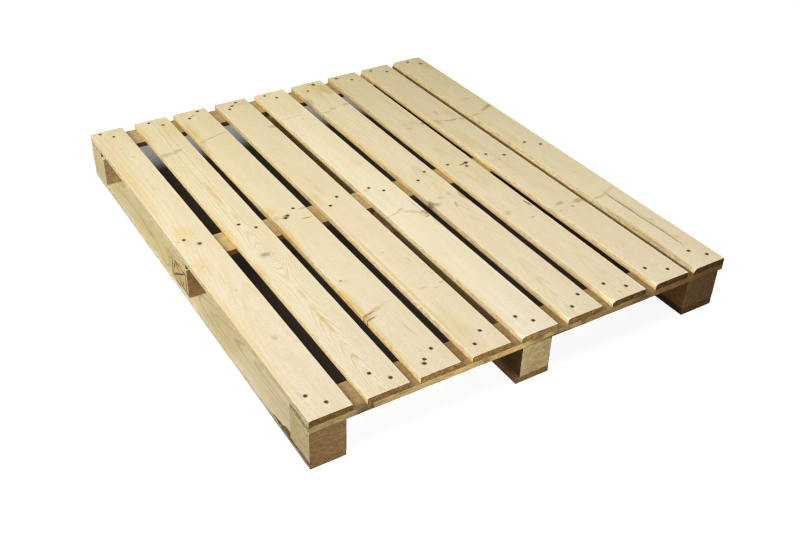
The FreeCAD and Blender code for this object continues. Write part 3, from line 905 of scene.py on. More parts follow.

# MARK TABLE: (across, along, half width, half length, tint, strength,
#              core radius = 0.2, turn in degrees = 0, ringed = False)
# offset: left edge of the board from the pallet's left side
# chips: (centre, radii, extra easing, darkness)
# left, left_light_run and left_foot_shade paint light and shade on the left faces
DECK_BOARDS = [
    dict(offset=0.0, seed=11, end=(0.212, 0.103, 0.026), left=(1.02, 1.12, 1.26),
         left_light_run=[(0, 0.87), (100, 0.91), (300, 1.02), (600, 1.02), (850, 1.10), (1000, 1.22),
                   (1200, 1.26)],
         drift=(0.953, 1.063), base=(0.737, 0.655, 0.474), second=(0.698, 0.593, 0.388),
         blend=0.45, pith=[(0, 60, 62), (240, 58, 66), (500, 75, 80), (1200, 60, 88)],
         spacing=5.6, ring=0.30, knots=[(27, 612, 30, 70, 6.0), (50, 234, 22, 50, 3.5)],
         chips=[((92, 0, 15), (12, 10, 7), 2.0, 0)],
         marks=[(4, 250, 9, 300, YELLOW, 0.9), (20, 520, 24, 48, YELLOW, 0.9),
                (32, 655, 20, 32, YELLOW, 1.0), (10, 930, 16, 260, YELLOW, 0.9, 0.1),
                (27, 612, 8, 10, (0.95, 0.87, 0.70), 0.9), (50, 601, 8, 8, BROWN, 0.55, 0.1),
                (12, 627, 2.5, 5, GREY, 0.75, 0.3, 15), (50, 234, 6, 7, FAINT, 1.0, 0.3),
                (49, 407, 4, 3.5, FAINT, 0.9, 0.3), (57, 1034, 7, 4, FAINT, 0.9, 0.3),
                (44, 1090, 5, 5, PALE, 1.0, 0.3), (22, 515, 2.5, 3, FAINT, 1.0, 0.4),
                (41, 465, 1.3, 26, FAINT, 0.6, 0.3, -6), (17, 72, 5, 10, PALE, 0.9, 0.2, 10),
                (80, 205, 6, 5, PALE, 0.8)]),
    dict(offset=118.7, seed=23, end=(0.260, 0.145, 0.041), left=(1.28, 1.37, 1.43),
         left_foot_shade=FOOT_SHADE, drift=(0.952, 1.052), base=(0.772, 0.694, 0.502),
         second=(0.732, 0.628, 0.411), blend=0.45,
         pith=[(0, 34, 13), (110, 35, 20), (200, 37, 27), (300, 39, 34), (390, 40, 34),
               (432, 43, 30), (460, 43, 23), (482, 42, 15), (497, 38, 12), (510, 38, 20),
               (528, 40, 29), (570, 41, 33), (760, 40, 36), (900, 42, 37), (1200, 44, 39)],
         spacing=3.3, ring=0.72, sharp=0.50, wobble=0.65, ring_tint=(0.80, 0.71, 0.54),
         marks=[(36, 493, 7.5, 5.0, GREY, 0.85, 0.25, 0, True),
                (36, 491, 17, 13, PALE, 1.0, 0.3), (46, 1012, 9.5, 6.5, GREY, 0.55),
                (24, 1004, 28, 8, FAINT, 0.8), (6, 1002, 10, 12, FAINT, 0.9),
                (38, 235, 3.8, 42, ORANGE, 1.0, 0.3, 1), (40, 332, 4.2, 22, ORANGE, 0.9, 0.3),
                (40, 775, 5.0, 58, ORANGE, 1.0, 0.3), (43, 660, 4.0, 24, ORANGE, 0.8, 0.3),
                (38, 110, 5.0, 12, ORANGE, 0.5), (3, 440, 6, 40, TAN, 0.6),
                (4, 620, 7, 130, YELLOW, 1.0), (3, 1130, 7, 70, TAN, 0.5),
                (70, 1130, 25, 70, YELLOW, 0.8)]),
    dict(offset=228.5, seed=37, end=(0.325, 0.175, 0.046), left=(1.00, 1.04, 1.05),
         left_foot_shade=FOOT_SHADE,
         left_light_run=[(0, 1.36), (200, 1.45), (330, 1.25), (450, 1.08), (560, 0.98), (650, 1.00),
                   (750, 1.42), (950, 1.45), (1200, 1.2)],
         drift=(0.972, 1.047), base=(0.767, 0.682, 0.482), second=(0.726, 0.617, 0.395),
         blend=0.45, pith=(-30, -60), tilt=(0.006, 0.006), spacing=5.0, ring=0.22,
         knots=[(10, 205, 20, 45, 4.0)],
         marks=[(1, 190, 9, 190, (0.91, 0.86, 0.70), 0.9, 0.4),
                (1, 500, 9, 110, (0.91, 0.86, 0.70), 0.9, 0.4),
                (1, 1040, 9, 130, (0.93, 0.89, 0.74), 0.9, 0.4),
                (7, 192, 16, 2.6, BROWN, 1.0, 0.35, 12), (8, 200, 17, 3.2, TAN, 0.9, 0.3, 12),
                (10, 207, 17, 2.4, BROWN, 0.95, 0.35, 14),
                (33, 214, 19, 6.5, PINK, 0.9, 0.2, 16), (62, 224, 15, 5, PALE, 0.9, 0.2, 5),
                (20, 331, 4.0, 3.6, GREY, 0.8, 0.3), (27, 326, 7, 6, YELLOW, 1.0),
                (58, 132, 1.6, 24, FAINT, 1.0, 0.3, 1),
                (26, 33, 4, 3.5, (0.42, 0.44, 0.52), 0.9, 0.3),
                (28, 601, 9, 6, OLIVE, 0.7, 0.1), (34, 606, 10, 6, BROWN, 0.75, 0.2, 20),
                (8, 608, 13, 10, FAINT, 1.0), (70, 578, 12, 2.2, BROWN, 0.75, 0.3, -4),
                (84, 620, 14, 4.0, TAN, 1.0, 0.3, 6), (30, 1031, 26, 1.9, BROWN, 0.62, 0.3, 12),
                (66, 1041, 18, 2.0, BROWN, 0.48, 0.3, 4), (8, 1020, 10, 6, FAINT, 0.8),
                (6, 255, 12, 70, YELLOW, 1.1, 0.3), (4, 540, 8, 60, YELLOW, 1.1, 0.3),
                (9, 640, 13, 14, (0.97, 0.88, 0.66), 1.0),
                (38, 1168, 10, 3, BROWN, 0.6, 0.2, 20), (8, 1090, 10, 90, YELLOW, 0.9)]),
    dict(offset=349.5, seed=41, end=(0.315, 0.182, 0.052), left=(1.00, 1.04, 1.04),
         left_foot_shade=FOOT_SHADE,
         left_light_run=[(0, 0.98), (60, 1.16), (450, 1.24), (550, 1.00), (650, 1.00), (750, 1.32),
                   (930, 1.34), (1060, 1.12), (1200, 1.0)],
         drift=(1.006, 1.036), base=(0.789, 0.697, 0.498), second=(0.747, 0.631, 0.408),
         blend=0.50, pith=(130, -50), tilt=(-0.004, 0.008), spacing=5.4, ring=0.20,
         knots=[(40, 224, 26, 50, 3.0), (80, 1015, 20, 50, 4.0)],
         chips=[((0, 0, 15), (12, 14, 8), 2.5, 0)],
         marks=[(37, 228, 9, 3.2, FAINT, 1.0, 0.2, 4), (57, 216, 5, 4, FAINT, 1.0),
                (78, 227, 6, 4, GREY, 0.55), (27, 377, 4, 2.2, GREY, 0.6, 0.3, 10),
                (62, 325, 2.2, 10, FAINT, 1.0, 0.3, 8),
                (22, 90, 28, 95, (0.95, 0.92, 0.80), 0.9), (30, 668, 7, 28, TAN, 0.35, 0.1),
                (30, 728, 4, 18, TAN, 0.4), (80, 1012, 14, 9, (0.72, 0.60, 0.44), 0.85, 0.1),
                (3, 270, 5, 290, STRAW, 0.8, 0.4), (62, 1175, 18, 9, FAINT, 0.8),
                (32, 1172, 14, 2.6, BROWN, 0.6, 0.2, 25), (8, 640, 9, 30, YELLOW, 1.0)]),
    dict(offset=460.0, seed=59, end=(0.400, 0.245, 0.082), left=(1.02, 1.07, 1.12),
         left_foot_shade=FOOT_SHADE,
         left_light_run=[(0, 0.84), (60, 1.02), (450, 1.15), (550, 0.96), (650, 0.98), (750, 1.22),
                   (900, 1.20), (1030, 1.36), (1200, 1.2)],
         drift=(0.996, 1.057), base=(0.857, 0.778, 0.584), second=(0.811, 0.704, 0.478),
         blend=0.40, pith=(60, -120), tilt=(0.004, 0.0), spacing=6.0, ring=0.16,
         knots=[(84, 462, 16, 36, 6.0)], chips=[((0, 0, 15), (17, 28, 9), 5.5, 0)],
         marks=[(18, 495, 18, 2.4, OLIVE, 0.55, 0.2, 14), (41, 504, 9, 3.0, BROWN, 0.45, 0.3, 12),
                (60, 483, 24, 6, FAINT, 1.1, 0.2, -32), (79, 464, 9, 11, PINK, 1.0, 0.3, -12),
                (81, 451, 7, 2.0, DARK, 0.75, 0.4, 18), (83, 474, 6, 2.0, DARK, 0.75, 0.4, -20),
                (86, 463, 5, 7, BROWN, 0.7, 0.3), (80, 505, 1.4, 24, BROWN, 0.5, 0.3, 2),
                (84, 425, 1.4, 26, TAN, 0.9, 0.3, -2), (15, 614, 7, 4, TAN, 0.8, 0.2, 24),
                (25, 1031, 12, 2.6, FAINT, 1.0, 0.2, 5), (50, 1036, 8, 3.0, FAINT, 1.0),
                (55, 1011, 8, 4, TAN, 0.4), (6, 1034, 9, 2.2, FAINT, 0.9),
                (45, 1120, 60, 86, (0.96, 0.94, 0.88), 0.9, 0.6),
                (3, 230, 4, 230, YELLOW, 1.0, 0.3), (50, 735, 30, 26, YELLOW, 0.5, 0.1)]),
    dict(offset=575.0, seed=61, end=(0.375, 0.200, 0.056), left=(1.00, 1.03, 1.04),
         left_foot_shade=FOOT_SHADE,
         left_light_run=[(0, 0.90), (60, 1.10), (300, 1.10), (450, 0.98), (560, 0.98), (650, 1.04),
                   (750, 1.30), (930, 1.28), (1060, 1.14), (1200, 1.1)],
         drift=(1.018, 1.038), base=(0.837, 0.750, 0.547), second=(0.793, 0.679, 0.447),
         blend=0.50, spacing=3.4, ring=0.42, ring_tint=(0.86, 0.77, 0.60),
         pith=[(0, 18, 30), (180, 38, 40), (350, 52, 50), (500, 55, 60), (1200, 50, 64)],
         knots=[(33, 502, 20, 36, 3.0), (80, 490, 20, 40, 3.0)],
         chips=[((0, 0, 15), (14, 18, 8), 3.5, 0), ((20, 0, 0), (22, 8, 5), 2.5, 0)],
         marks=[(33, 502, 8, 7, FAINT, 1.1), (9, 481, 12, 8, (0.62, 0.56, 0.48), 0.85),
                (60, 508, 8, 5, FAINT, 1.1), (88, 486, 9, 22, (0.66, 0.52, 0.36), 0.95, 0.3),
                (2, 492, 5, 10, DARK, 0.7, 0.3), (48, 460, 1.0, 12, GREY, 0.7, 0.3, -14),
                (53, 464, 1.0, 9, GREY, 0.6, 0.3, -14), (14, 1014, 14, 5, FAINT, 1.2),
                (38, 1026, 9, 6, GREY, 0.45), (82, 1032, 10, 6, GREY, 0.65),
                (78, 1140, 14, 30, (0.86, 0.76, 0.58), 0.9, 0.5),
                (4, 1095, 7, 28, BROWN, 0.45, 0.1), (60, 1178, 4.5, 8, DARK, 0.8, 0.2, 28),
                (40, 1150, 40, 60, (0.95, 0.91, 0.80), 0.8, 0.3),
                (26, 70, 3, 120, YELLOW, 0.8, 0.2, -2), (3, 760, 6, 260, YELLOW, 0.9)]),
    dict(offset=694.5, seed=73, end=(0.265, 0.132, 0.037), left=(1.20, 1.25, 1.22),
         left_foot_shade=FOOT_SHADE, sides=0.45,
         left_light_run=[(0, 0.80), (60, 0.98), (130, 0.95), (220, 0.98), (320, 1.02), (420, 1.03),
                   (800, 1.08), (1000, 0.95), (1200, 0.85)],
         drift=(1.075, 0.978), base=(0.816, 0.721, 0.510), second=(0.773, 0.653, 0.417),
         blend=0.45, spacing=4.0, ring=0.34,
         pith=[(0, 44, 40), (160, 40, 48), (330, 38, 52), (600, 40, 46), (800, 30, 52),
               (1200, 40, 60)],
         knots=[(13, 373, 22, 50, 6.0), (84, 386, 16, 40, 4.0), (84, 832, 18, 40, 4.0)],
         chips=[((0, 0, 15), (16, 26, 9), 6.0, 0)],
         marks=[(12, 373, 12, 9.5, (0.84, 0.78, 0.66), 0.85, 0.05, 20),
                (10, 368, 7, 4, (0.86, 0.80, 0.68), 0.8, 0.1, 30),
                (50, 331, 8, 3.0, GREY, 0.6, 0.2, 4),
                (77, 384, 3.0, 15, (0.30, 0.29, 0.22), 0.85, 0.3, 8),
                (29, 20, 4, 4, FAINT, 1.2), (54, 607, 14, 2.6, DARK, 0.85, 0.3, 6),
                (62, 611, 6, 3.4, DARK, 0.8, 0.3), (35, 826, 10, 6, FAINT, 1.2),
                (84, 834, 7, 5, (0.40, 0.32, 0.22), 0.85, 0.3),
                (48, 850, 30, 18, (0.94, 0.90, 0.82), 0.9), (15, 580, 10, 4, PALE, 0.9),
                (20, 1186, 12, 10, TAN, 0.6, 0.1), (4, 1120, 8, 90, YELLOW, 1.0),
                (30, 520, 3, 60, YELLOW, 0.8), (70, 960, 10, 120, (0.96, 0.93, 0.80), 0.8)]),
    dict(offset=810.0, seed=89, end=(0.225, 0.110, 0.028), left=(1.14, 1.18, 1.18),
         left_foot_shade=FOOT_SHADE, sides=0.45,
         left_light_run=[(0, 0.78), (60, 1.04), (350, 1.12), (500, 1.15), (950, 1.25), (1200, 1.15)],
         drift=(1.109, 0.969), base=(0.808, 0.711, 0.505), second=(0.765, 0.643, 0.414),
         blend=0.50, pith=(-25, -80), tilt=(0.004, 0.0), spacing=5.6, ring=0.18,
         knots=[(26, 347, 22, 40, 4.0), (70, 335, 20, 40, 4.0)],
         chips=[((0, 0, 15), (14, 16, 9), 4.5, 0)],
         marks=[(7, 320, 5, 3.0, GREY, 0.55), (25, 347, 11, 7, (0.66, 0.56, 0.44), 0.85, 0.1),
                (43, 323, 5, 3.4, GREY, 0.6, 0.3),
                (70, 336, 15, 8, (0.64, 0.50, 0.36), 0.85, 0.1, 8),
                (84, 330, 6, 8, ORANGE, 1.0), (27, 581, 5, 3.0, GREY, 0.5),
                (12, 584, 6, 3.0, FAINT, 0.9),
                (16, 826, 22, 3.6, (0.88, 0.84, 0.72), 0.95, 0.2, -24),
                (30, 817, 9, 3.0, GREY, 0.45), (47, 813, 20, 4.0, (0.74, 0.62, 0.46), 0.75),
                (75, 807, 14, 6.0, (0.78, 0.68, 0.50), 0.85, 0.2, -24),
                (50, 813, 9, 4.0, BROWN, 0.40, 0.1), (32, 870, 4, 13, PINK, 0.95),
                (60, 850, 14, 26, PALE, 1.0), (16, 700, 22, 80, YELLOW, 0.9, 0.1),
                (6, 820, 8, 20, GREY, 0.35, 0.1), (28, 600, 5, 110, PALE, 0.6)]),
    dict(offset=913.0, seed=97, end=(0.275, 0.130, 0.036), left=(0.79, 0.84, 0.87),
         left_light_run=[(0, 0.97), (200, 0.98), (350, 1.10), (500, 1.24), (650, 1.18), (950, 1.26),
                   (1200, 1.24)],
         left_foot_shade=(-9.0, -10.2, (0.40, 0.28, 0.17)), drift=(1.118, 0.968),
         base=(0.817, 0.721, 0.508), second=(0.773, 0.653, 0.416), blend=0.50,
         pith=(44, -95), tilt=(0.003, 0.004), spacing=5.8, ring=0.15,
         knots=[(60, 828, 22, 44, 5.0)],
         chips=[((0, 0, 15), (10, 12, 7), 3.0, 0), ((84, 1190, 15), (14, 20, 8), 4.0, 0)],
         marks=[(49.3, 150, 1.2, 60, (0.74, 0.64, 0.46), 0.8),
                (46.0, 268, 1.4, 60, (0.62, 0.50, 0.32), 0.9, 0.2, 1),
                (20, 323, 26, 4.5, (0.86, 0.82, 0.70), 0.95, 0.2, 5),
                (20, 324, 26, 1.0, TAN, 0.6, 0.2, 5),
                (64, 337, 26, 5.0, (0.90, 0.84, 0.70), 0.9, 0.2, 14),
                (50, 240, 9, 160, PALE, 0.7, 0.1), (58, 112, 3.4, 5, FAINT, 1.2),
                (58, 190, 3.4, 7, FAINT, 1.0), (14, 808, 16, 4.4, (0.80, 0.77, 0.66), 0.95),
                (62, 828, 26, 6.5, (0.76, 0.64, 0.46), 0.95, 0.2, 26),
                (76, 835, 9, 8, TAN, 0.9), (45, 900, 20, 4, FAINT, 0.9, 0.1),
                (45, 440, 8, 5, PALE, 1.0), (4, 150, 5, 170, STRAW, 0.8, 0.3),
                (20, 650, 16, 60, YELLOW, 0.8, 0.1),
                (72, 1150, 16, 40, (0.90, 0.85, 0.74), 0.8)]),
]
# the crack in the last board; path: (along, across)
CRACK = dict(across=50.0, span=(70, 340), depth=2.6, half_gap=0.22,
             path=[(60, 51.5), (110, 50.0), (160, 50.0), (200, 48.5), (260, 47.3),
                   (300, 47.3), (336, 49.5)])


def deck_board(number, offset, seed, chips=(), **look):
    node = "deck_board_%d" % number
    last = number == len(DECK_BOARDS)
    origin = (LEFT_X + offset, NEAR_Y, piece_origin(node)[2])
    material = wood("pine_deck_%d" % number, origin, seed=seed, **look)
    timber_piece(node, "deck_pine", material, seed=100 + number,
                 holes=holes_in(node, DECK_HEADS, 2.0, "head_top"),
                 ease=0.85, rough=0.22, end_rough=1.1, cup=0.35, chips=chips,
                 left_slope=7.5 if last else 0.0, crack=CRACK if last else None)


for index, board in enumerate(DECK_BOARDS, 1):
    deck_board(index, **board)


# ---- Stringer boards ------------------------------------------------
# top, left and left_light_run paint light and shade; on these pieces along X the left face is the
# near face
STRINGERS = {
    "near": dict(
        base=(0.760, 0.650, 0.420), second=(0.690, 0.560, 0.330), top=(0.50, 0.415, 0.275),
        bark=(0.075, 0.050, 0.020), left=(0.92, 0.92, 0.72),
        left_light_run=[(0, 0.72), (60, 0.62), (85, 0.58), (110, 0.44), (135, 0.53), (165, 0.65),
                  (230, 0.70), (290, 0.78), (320, 0.85), (350, 0.80), (380, 0.73), (410, 0.94),
                  (470, 1.0), (500, 0.84), (530, 0.90), (560, 0.62), (590, 0.80), (620, 0.68),
                  (710, 0.75), (770, 0.68), (800, 0.9), (830, 1.0), (1200, 1.0)],
        front=(1.0, 1.0, 1.0), end=(0.50, 0.405, 0.165), pith=(30, -60),
        marks=[(0, 110, 12, 13, BROWN, 0.9), (0, 128, 12, 4, DARK, 0.8),
               (48, 217, 30, 9, (0.90, 0.86, 0.83), 1.0, 0.6),
               # the next four marks lie over the deck gaps: painted shade where the top shows
               # through them
               (48, 336, 30, 9, (0.80, 0.72, 0.62), 1.0, 0.6),
               (48, 447, 30, 9, (0.88, 0.82, 0.74), 1.0, 0.6),
               (48, 564, 30, 9, (0.85, 0.82, 0.75), 1.0, 0.6),
               (0, 375, 40, 5, (0.62, 0.56, 0.44), 0.8), (0, 505, 40, 14, OLIVE, 0.8),
               (0, 545, 40, 9, OLIVE, 0.6), (0, 615, 40, 7, BROWN, 0.6),
               (0, 770, 40, 30, (0.72, 0.62, 0.50), 0.8, 0.3),
               (0, 860, 46, 60, (0.66, 0.55, 0.42), 0.9, 0.5),
               (0, 960, 46, 60, (0.60, 0.46, 0.34), 0.9, 0.5)]),
    "middle": dict(
        base=(0.640, 0.500, 0.270), second=(0.560, 0.420, 0.210), top=(0.94, 0.91, 0.82),
        bite=0.4, left=(0.46, 0.36, 0.25), end=(0.74, 0.60, 0.35), pith=(50, -40),
        # marks: painted shade on the top where it shows through the deck gaps
        marks=[(38, 332, 60, 9, (0.88, 0.86, 0.84), 1.0, 0.6),
               (38, 562, 60, 9, (0.86, 0.83, 0.76), 1.0, 0.6),
               (38, 676, 60, 9, (0.84, 0.80, 0.72), 1.0, 0.6)]),
    "far": dict(
        base=(0.600, 0.470, 0.260), second=(0.520, 0.380, 0.190), top=(0.93, 0.91, 0.88),
        left=(0.34, 0.26, 0.18), end=(0.84, 0.70, 0.43), bite=0.4, pith=(20, -70)),
}
NEAR_CHIPS = [
    ((52, 0, 14), (30, 12, 3.5), 2.2, 1.0), ((8, 0, 14), (14, 10, 3), 1.6, 0.9),
    ((44, 0, 0), (26, 10, 2.5), 1.2, 0.8), ((0, 112, 1), (5, 24, 8), 1.2, 0.85),
    ((0, 548, 0), (6, 60, 8), 1.2, 0.55), ((0, 500, 12), (5, 22, 5), 0.8, 0.42)]

for j, row in enumerate(ROWS):
    node = "stringer_board_%s" % row
    material = wood("pine_stringer_%s" % row, piece_origin(node), axis="x", seed=131 + j,
                    blend=0.7, tilt=(0.004, 0.008), spacing=4.4, ring=0.5, grey=0.35,
                    dirt=0.35, **STRINGERS[row])
    timber_piece(node, "stringer_pine", material, axis="x", seed=140 + j,
                 holes=holes_in(node, DECK_HEADS, 2.0, "plain"), ease=1.2, rough=0.25,
                 end_rough=0.7, chips=NEAR_CHIPS if row == "near" else ())


# ---- Blocks ---------------------------------------------------------
DECK_NAIL_TIP = TOP_Z - 69.2
SKID_NAIL_TIP = 45.2
# a plain frame with loose hatching: (along, up, half height, half length, degrees)
STAMP = [
    (12, -18, 2.0, 27, 3), (16, -66, 1.8, 22, -4), (11, -44, 27, 2.0, 2), (88, -42, 26, 1.8, -3),
    (32, -30, 1.7, 19, 34), (52, -42, 1.9, 24, 28), (70, -52, 1.7, 20, 36),
    (44, -58, 1.7, 14, -42), (62, -24, 1.7, 15, -38), (76, -34, 1.8, 11, 62),
    (30, -54, 1.8, 11, 66), (54, -16, 1.8, 22, 2), (60, -71, 1.8, 20, 4)]
BLOCK_LOOK = dict(base=(0.66, 0.52, 0.30), second=(0.58, 0.43, 0.23), end=(0.50, 0.34, 0.16),
                  ring=0.6, spacing=4.6, bite=0.28, end_low=0.30)
# left, right: painted light and shade on those faces
BLOCKS = {      # what differs from BLOCK_LOOK
    "left_near": dict(
        base=(0.615, 0.560, 0.375), second=(0.560, 0.500, 0.320), end=(0.245, 0.153, 0.052),
        left=(0.98, 0.98, 0.96), right=(0.6, 0.5, 0.4), ring=0.35, spacing=6.5, arcs=0.3),
    "centre_near": dict(
        base=(0.600, 0.450, 0.230), second=(0.520, 0.370, 0.180), end=(0.49, 0.380, 0.172),
        left=(0.23, 0.195, 0.15), right=(0.5, 0.42, 0.33), ring=0.4, spacing=4.4, dirt=0.4),
    "right_near": dict(
        base=(0.420, 0.290, 0.150), second=(0.360, 0.240, 0.120), end=(0.315, 0.185, 0.070),
        arcs=0.45, left=(0.55, 0.45, 0.35), ring=0.8, spacing=6.5),
    "left_middle": dict(
        base=(0.690, 0.600, 0.400), second=(0.620, 0.520, 0.330), end=(0.45, 0.275, 0.105),
        left=(1.07, 1.09, 1.03), stamp=STAMP, ring=0.4),
    "left_far": dict(
        base=(0.860, 0.780, 0.540), second=(0.790, 0.700, 0.460), end=(0.56, 0.400, 0.220),
        left=(1.03, 1.10, 1.14), ring=0.4),
}
for i, column in enumerate(COLUMNS):
    for j, row in enumerate(ROWS):
        place = "%s_%s" % (column, row)
        node = "block_" + place
        material = wood("pine_block_" + place, piece_origin(node), seed=171 + 3 * i + j,
                        blend=0.8, pith=(38 + 25 * (i - 1), -90 + 30 * j), grey=0.4, saw=1.4,
                        **{**BLOCK_LOOK, **BLOCKS.get(place, {})})
        timber_piece(node, "block_pine", material, step=(3.4, 3.4, 3.4),
                     holes=holes_in(node, LONG_HEADS, 1.5, "blind_top", DECK_NAIL_TIP)
                     + holes_in(node, SKID_HEADS, 1.5, "blind_bottom", SKID_NAIL_TIP),
                     seed=180 + 3 * i + j, ease=1.6, rough=0.5, end_rough=0.7)


# ---- Skids ----------------------------------------------------------
# top, left and left_light_run paint light and shade; the right skid's top and left face are
# painted near-black shade
SKIDS = {
    "left": dict(
        base=(0.745, 0.672, 0.442), second=(0.680, 0.600, 0.380), left=(1.05, 1.24, 1.75),
        left_light_run=[(0, 0.60), (150, 0.66), (205, 0.98), (1200, 1.0)], drift=(0.97, 1.14),
        pith=[(0, 52, 16), (170, 44, 22), (330, 34, 27), (520, 24, 33), (800, 30, 44),
              (1200, 40, 40)],
        spacing=3.2, ring=0.80, ring_tint=(0.76, 0.71, 0.54), sharp=0.52, wobble=0.9,
        bark=(0.095, 0.055, 0.024),
        marks=[(18, 420, 40, 110, (0.92, 0.88, 0.80), 1.0, 0.4),
               (18, 780, 40, 170, (0.99, 0.95, 0.84), 1.0, 0.5),
               (18, 840, 5, 9, FAINT, 0.9), (8, 700, 4, 7, BROWN, 0.4)]),
    "centre": dict(
        base=(0.42, 0.310, 0.165), second=(0.36, 0.255, 0.13), top=(0.80, 0.70, 0.60),
        left=(0.75, 0.66, 0.55), pith=(40, -45), tilt=(0.0, 0.010), spacing=4.6, ring=0.55),
    "right": dict(
        base=(0.60, 0.470, 0.270), second=(0.52, 0.39, 0.21), top=(0.09, 0.075, 0.055),
        left=(0.11, 0.09, 0.07), pith=(40, -45), tilt=(0.0, 0.010), spacing=4.6, ring=0.55),
}
WANE = dict(span=(-130, 172), depth=4.6, angle=28, fade=80)

for i, column in enumerate(COLUMNS):
    node = "skid_board_%s" % column
    material = wood("pine_skid_%s" % column, piece_origin(node), seed=211 + i, blend=0.7,
                    grey=0.35, end=(0.25, 0.145, 0.052), bite=0.5, end_low=0.10,
                    **SKIDS[column])
    timber_piece(node, "skid_pine", material, seed=220 + i,
                 holes=holes_in(node, SKID_HEADS, 1.0, "head_bottom"), ease=0.9, rough=0.2,
                 end_rough=0.5, wane=WANE if column == "left" else None)


# ---- Nails ----------------------------------------------------------
def steel(name):
    material = new_material(name)
    tree = Tree(material.node_tree)
    point = tree.millimetres(tree.object_point())
    blotch = tree.waves(point, (2.2, 2.2, 2.2), 4.0, 0.65)
    streak = tree.waves(point, (0.5, 0.5, 3.0), 2.0, 0.6)
    colour = tree.mix(tree.ramp(blotch, 0.38, 0.66), (0.034, 0.023, 0.010),
                      (0.092, 0.060, 0.026))
    colour = tree.mix(tree.ramp(streak, 0.55, 0.75, 0, 0.4), colour, (0.135, 0.100, 0.060))
    tree.finish(blotch, strength=0.6, distance=0.0004, inputs={
        "Base Color": colour, "Metallic": tree.ramp(blotch, 0.4, 0.6, 0.35, 0.05),
        "Roughness": tree.ramp(blotch, 0.35, 0.7, 0.55, 0.82)})
    return material


nail_steel = steel("nail_steel_dark")
for node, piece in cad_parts.items():
    if "nails" in node:
        piece.data.materials.clear()
        piece.data.materials.append(nail_steel)


# ---- Floor, in metres -----------------------------------------------
FLOOR_HALF, FLOOR_Z = 9.0, -0.0004
# painted deep shade on the floor under the deck: fades in over the first pair, out over the
# second
SHADE_X = (-0.50, -0.42, 0.55, 0.63)
SHADE_Y = (-0.515, -0.435, 0.64, 0.80)


def floor_material():
    material = new_material("studio_floor")
    tree = Tree(material.node_tree)
    point = tree.object_point()
    mottle = tree.noise(point, 3.0, scale=6.0)
    camera_ray = tree.add("LightPath")["Is Camera Ray"]
    x, y, _ = tree.split(point)

    def beyond(value, half):
        offset = tree.math("ABSOLUTE", tree.math("SUBTRACT", value, 0.0))
        outside = tree.math("MAXIMUM", tree.math("SUBTRACT", offset, half), 0.0)
        return tree.times(outside, outside)

    def span(value, start, full, fade, end):
        return tree.times(tree.ramp(value, start, full), tree.ramp(value, end, fade))

    def emission(colour, strength):
        return tree.add("Emission", {"Color": colour, "Strength": strength})[0]

    # painted shade: a dark floor colour under the deck, for the camera only
    under = tree.times(span(x, *SHADE_X), span(y, *SHADE_Y))
    bare = tree.math("SUBTRACT", 1.0, under)
    # painted light: a grey lit patch at the far left of the painted shade
    lit = tree.times(tree.ramp(y, 0.53, 0.61), tree.ramp(x, 0.40, 0.36))    # far left of it
    deep = tree.mix(lit, (0.034, 0.026, 0.020), (0.14, 0.14, 0.145))
    open_floor = tree.mix(tree.ramp(mottle, 0.3, 0.7), (0.215, 0.215, 0.215),
                          (0.225, 0.225, 0.225))
    # the camera sees the painted shade under the pallet; other rays meet a plain grey floor
    seen = tree.mix(camera_ray, (0.20, 0.20, 0.20), tree.mix(bare, deep, open_floor))
    diffuse = tree.add("BsdfDiffuse", {"Color": seen})[0]

    # painted light: a glow that only the camera sees, brighter away from the pallet, which
    # whitens the floor over the pallet's shadow
    away = tree.math("SQRT", tree.math("ADD", beyond(x, (CAD_HI.x - CAD_LO.x) / 2),
                                       beyond(y, (CAD_HI.y - CAD_LO.y) / 2)))
    glow = tree.times(tree.ramp(away, 0.0, 0.28, 0.96, 1.0), tree.times(camera_ray, 0.95))
    glow = tree.times(glow, tree.ramp(bare, 0.55, 1.0))
    # painted light: a grey glow over the lit patch
    patch_glow = tree.times(tree.times(lit, under), tree.times(camera_ray, 0.17))
    white = emission((1, 1, 1, 1), tree.math("MAXIMUM", glow, patch_glow))
    # painted light: a faint warm glow inside the painted shade
    shade_glow = emission((1.0, 0.76, 0.60, 1), tree.times(tree.times(under, 0.013), camera_ray))
    shader = tree.add("AddShader", {0: diffuse, 1: white})[0]
    tree.surface(tree.add("AddShader", {0: shader, 1: shade_glow})[0])
    return material


floor_mesh = bpy.data.meshes.new("studio_floor")
floor_mesh.from_pydata([(sx * FLOOR_HALF, sy * FLOOR_HALF, FLOOR_Z)
                        for sx, sy in ((-1, -1), (1, -1), (1, 1), (-1, 1))],
                       [], [(0, 1, 2, 3)])
floor = bpy.data.objects.new("studio_floor", floor_mesh)
scene.collection.objects.link(floor)
floor.data.materials.append(floor_material())


# ---- Light, in metres and watts -------------------------------------
def softbox(name, place, aim, size, power, colour):
    light = bpy.data.lights.new(name, "AREA")
    light.shape = "RECTANGLE"
    light.size, light.size_y = size
    light.energy = power
    light.color = colour
    lamp = bpy.data.objects.new(name, light)
    lamp.location = place
    lamp.rotation_mode = "QUATERNION"
    lamp.rotation_quaternion = (Vector(aim) - Vector(place)).to_track_quat("-Z", "Y")
    lamp.visible_camera = False
    scene.collection.objects.link(lamp)


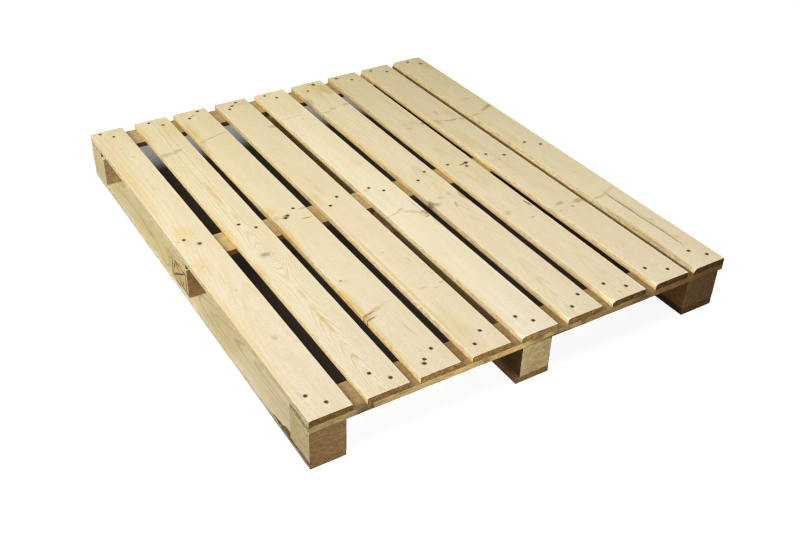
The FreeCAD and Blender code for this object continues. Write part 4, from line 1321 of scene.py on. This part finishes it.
softbox("key_softbox", place=(-1.95, -0.25, 1.50), aim=(-0.1, 0.0, 0.1), size=(1.4, 1.4),
        power=58, colour=(1.0, 0.995, 0.985))
softbox("top_softbox", place=(0.05, -0.25, 2.80), aim=(0.0, -0.05, 0.0), size=(2.2, 2.2),
        power=46, colour=(1.0, 1.0, 1.0))
softbox("front_fill", place=(-0.24, -1.10, 0.085), aim=(-0.20, -0.60, 0.070),
        size=(0.46, 0.12), power=3.1, colour=(1.0, 1.0, 1.0))

# a white backdrop that lights little
world = bpy.data.worlds.new("studio_world")
scene.world = world
world.use_nodes = True
background = world.node_tree.nodes["Background"]
background.inputs["Color"].default_value = (1.0, 1.0, 1.0, 1)
world_path = world.node_tree.nodes.new("ShaderNodeLightPath")
world_range = world.node_tree.nodes.new("ShaderNodeMapRange")
world_range.inputs["To Min"].default_value = 0.05
world_range.inputs["To Max"].default_value = 1.0
world.node_tree.links.new(world_path.outputs["Is Camera Ray"], world_range.inputs["Value"])
world.node_tree.links.new(world_range.outputs["Result"], background.inputs["Strength"])

scene.view_settings.view_transform = "Standard"
scene.view_settings.look = "None"
scene.view_settings.exposure = 0.0
scene.view_settings.gamma = 1.0
if hasattr(scene, "cycles"):
    scene.cycles.filter_width = 1.15        # crisp edges


# ---- Camera ---------------------------------------------------------
# axes of the view in the frame, and its place from the near left corner
VIEW_RIGHT = (0.865188, -0.501401, 0.006822)
VIEW_UP = (0.280299, 0.494858, 0.822525)
VIEW_BACK = (-0.415791, -0.709727, 0.568688)
VIEW_FROM = (-564.48, -1130.19, 1342.81)

camera = bpy.data.cameras.new("camera")
camera.sensor_fit = "HORIZONTAL"
camera.sensor_width = 36.0
camera.lens = 45.4698
camera.shift_x = 0.0511875
camera.shift_y = -0.0169125
camera.clip_start, camera.clip_end = 0.05, 60.0
camera_object = bpy.data.objects.new("camera", camera)
scene.collection.objects.link(camera_object)
eye = ((VIEW_FROM[0] + LEFT_X) * MM, (VIEW_FROM[1] + NEAR_Y) * MM, VIEW_FROM[2] * MM)
camera_object.matrix_world = Matrix((*zip(VIEW_RIGHT, VIEW_UP, VIEW_BACK, eye), (0, 0, 0, 1)))
scene.camera = camera_object

bpy.context.view_layer.update()
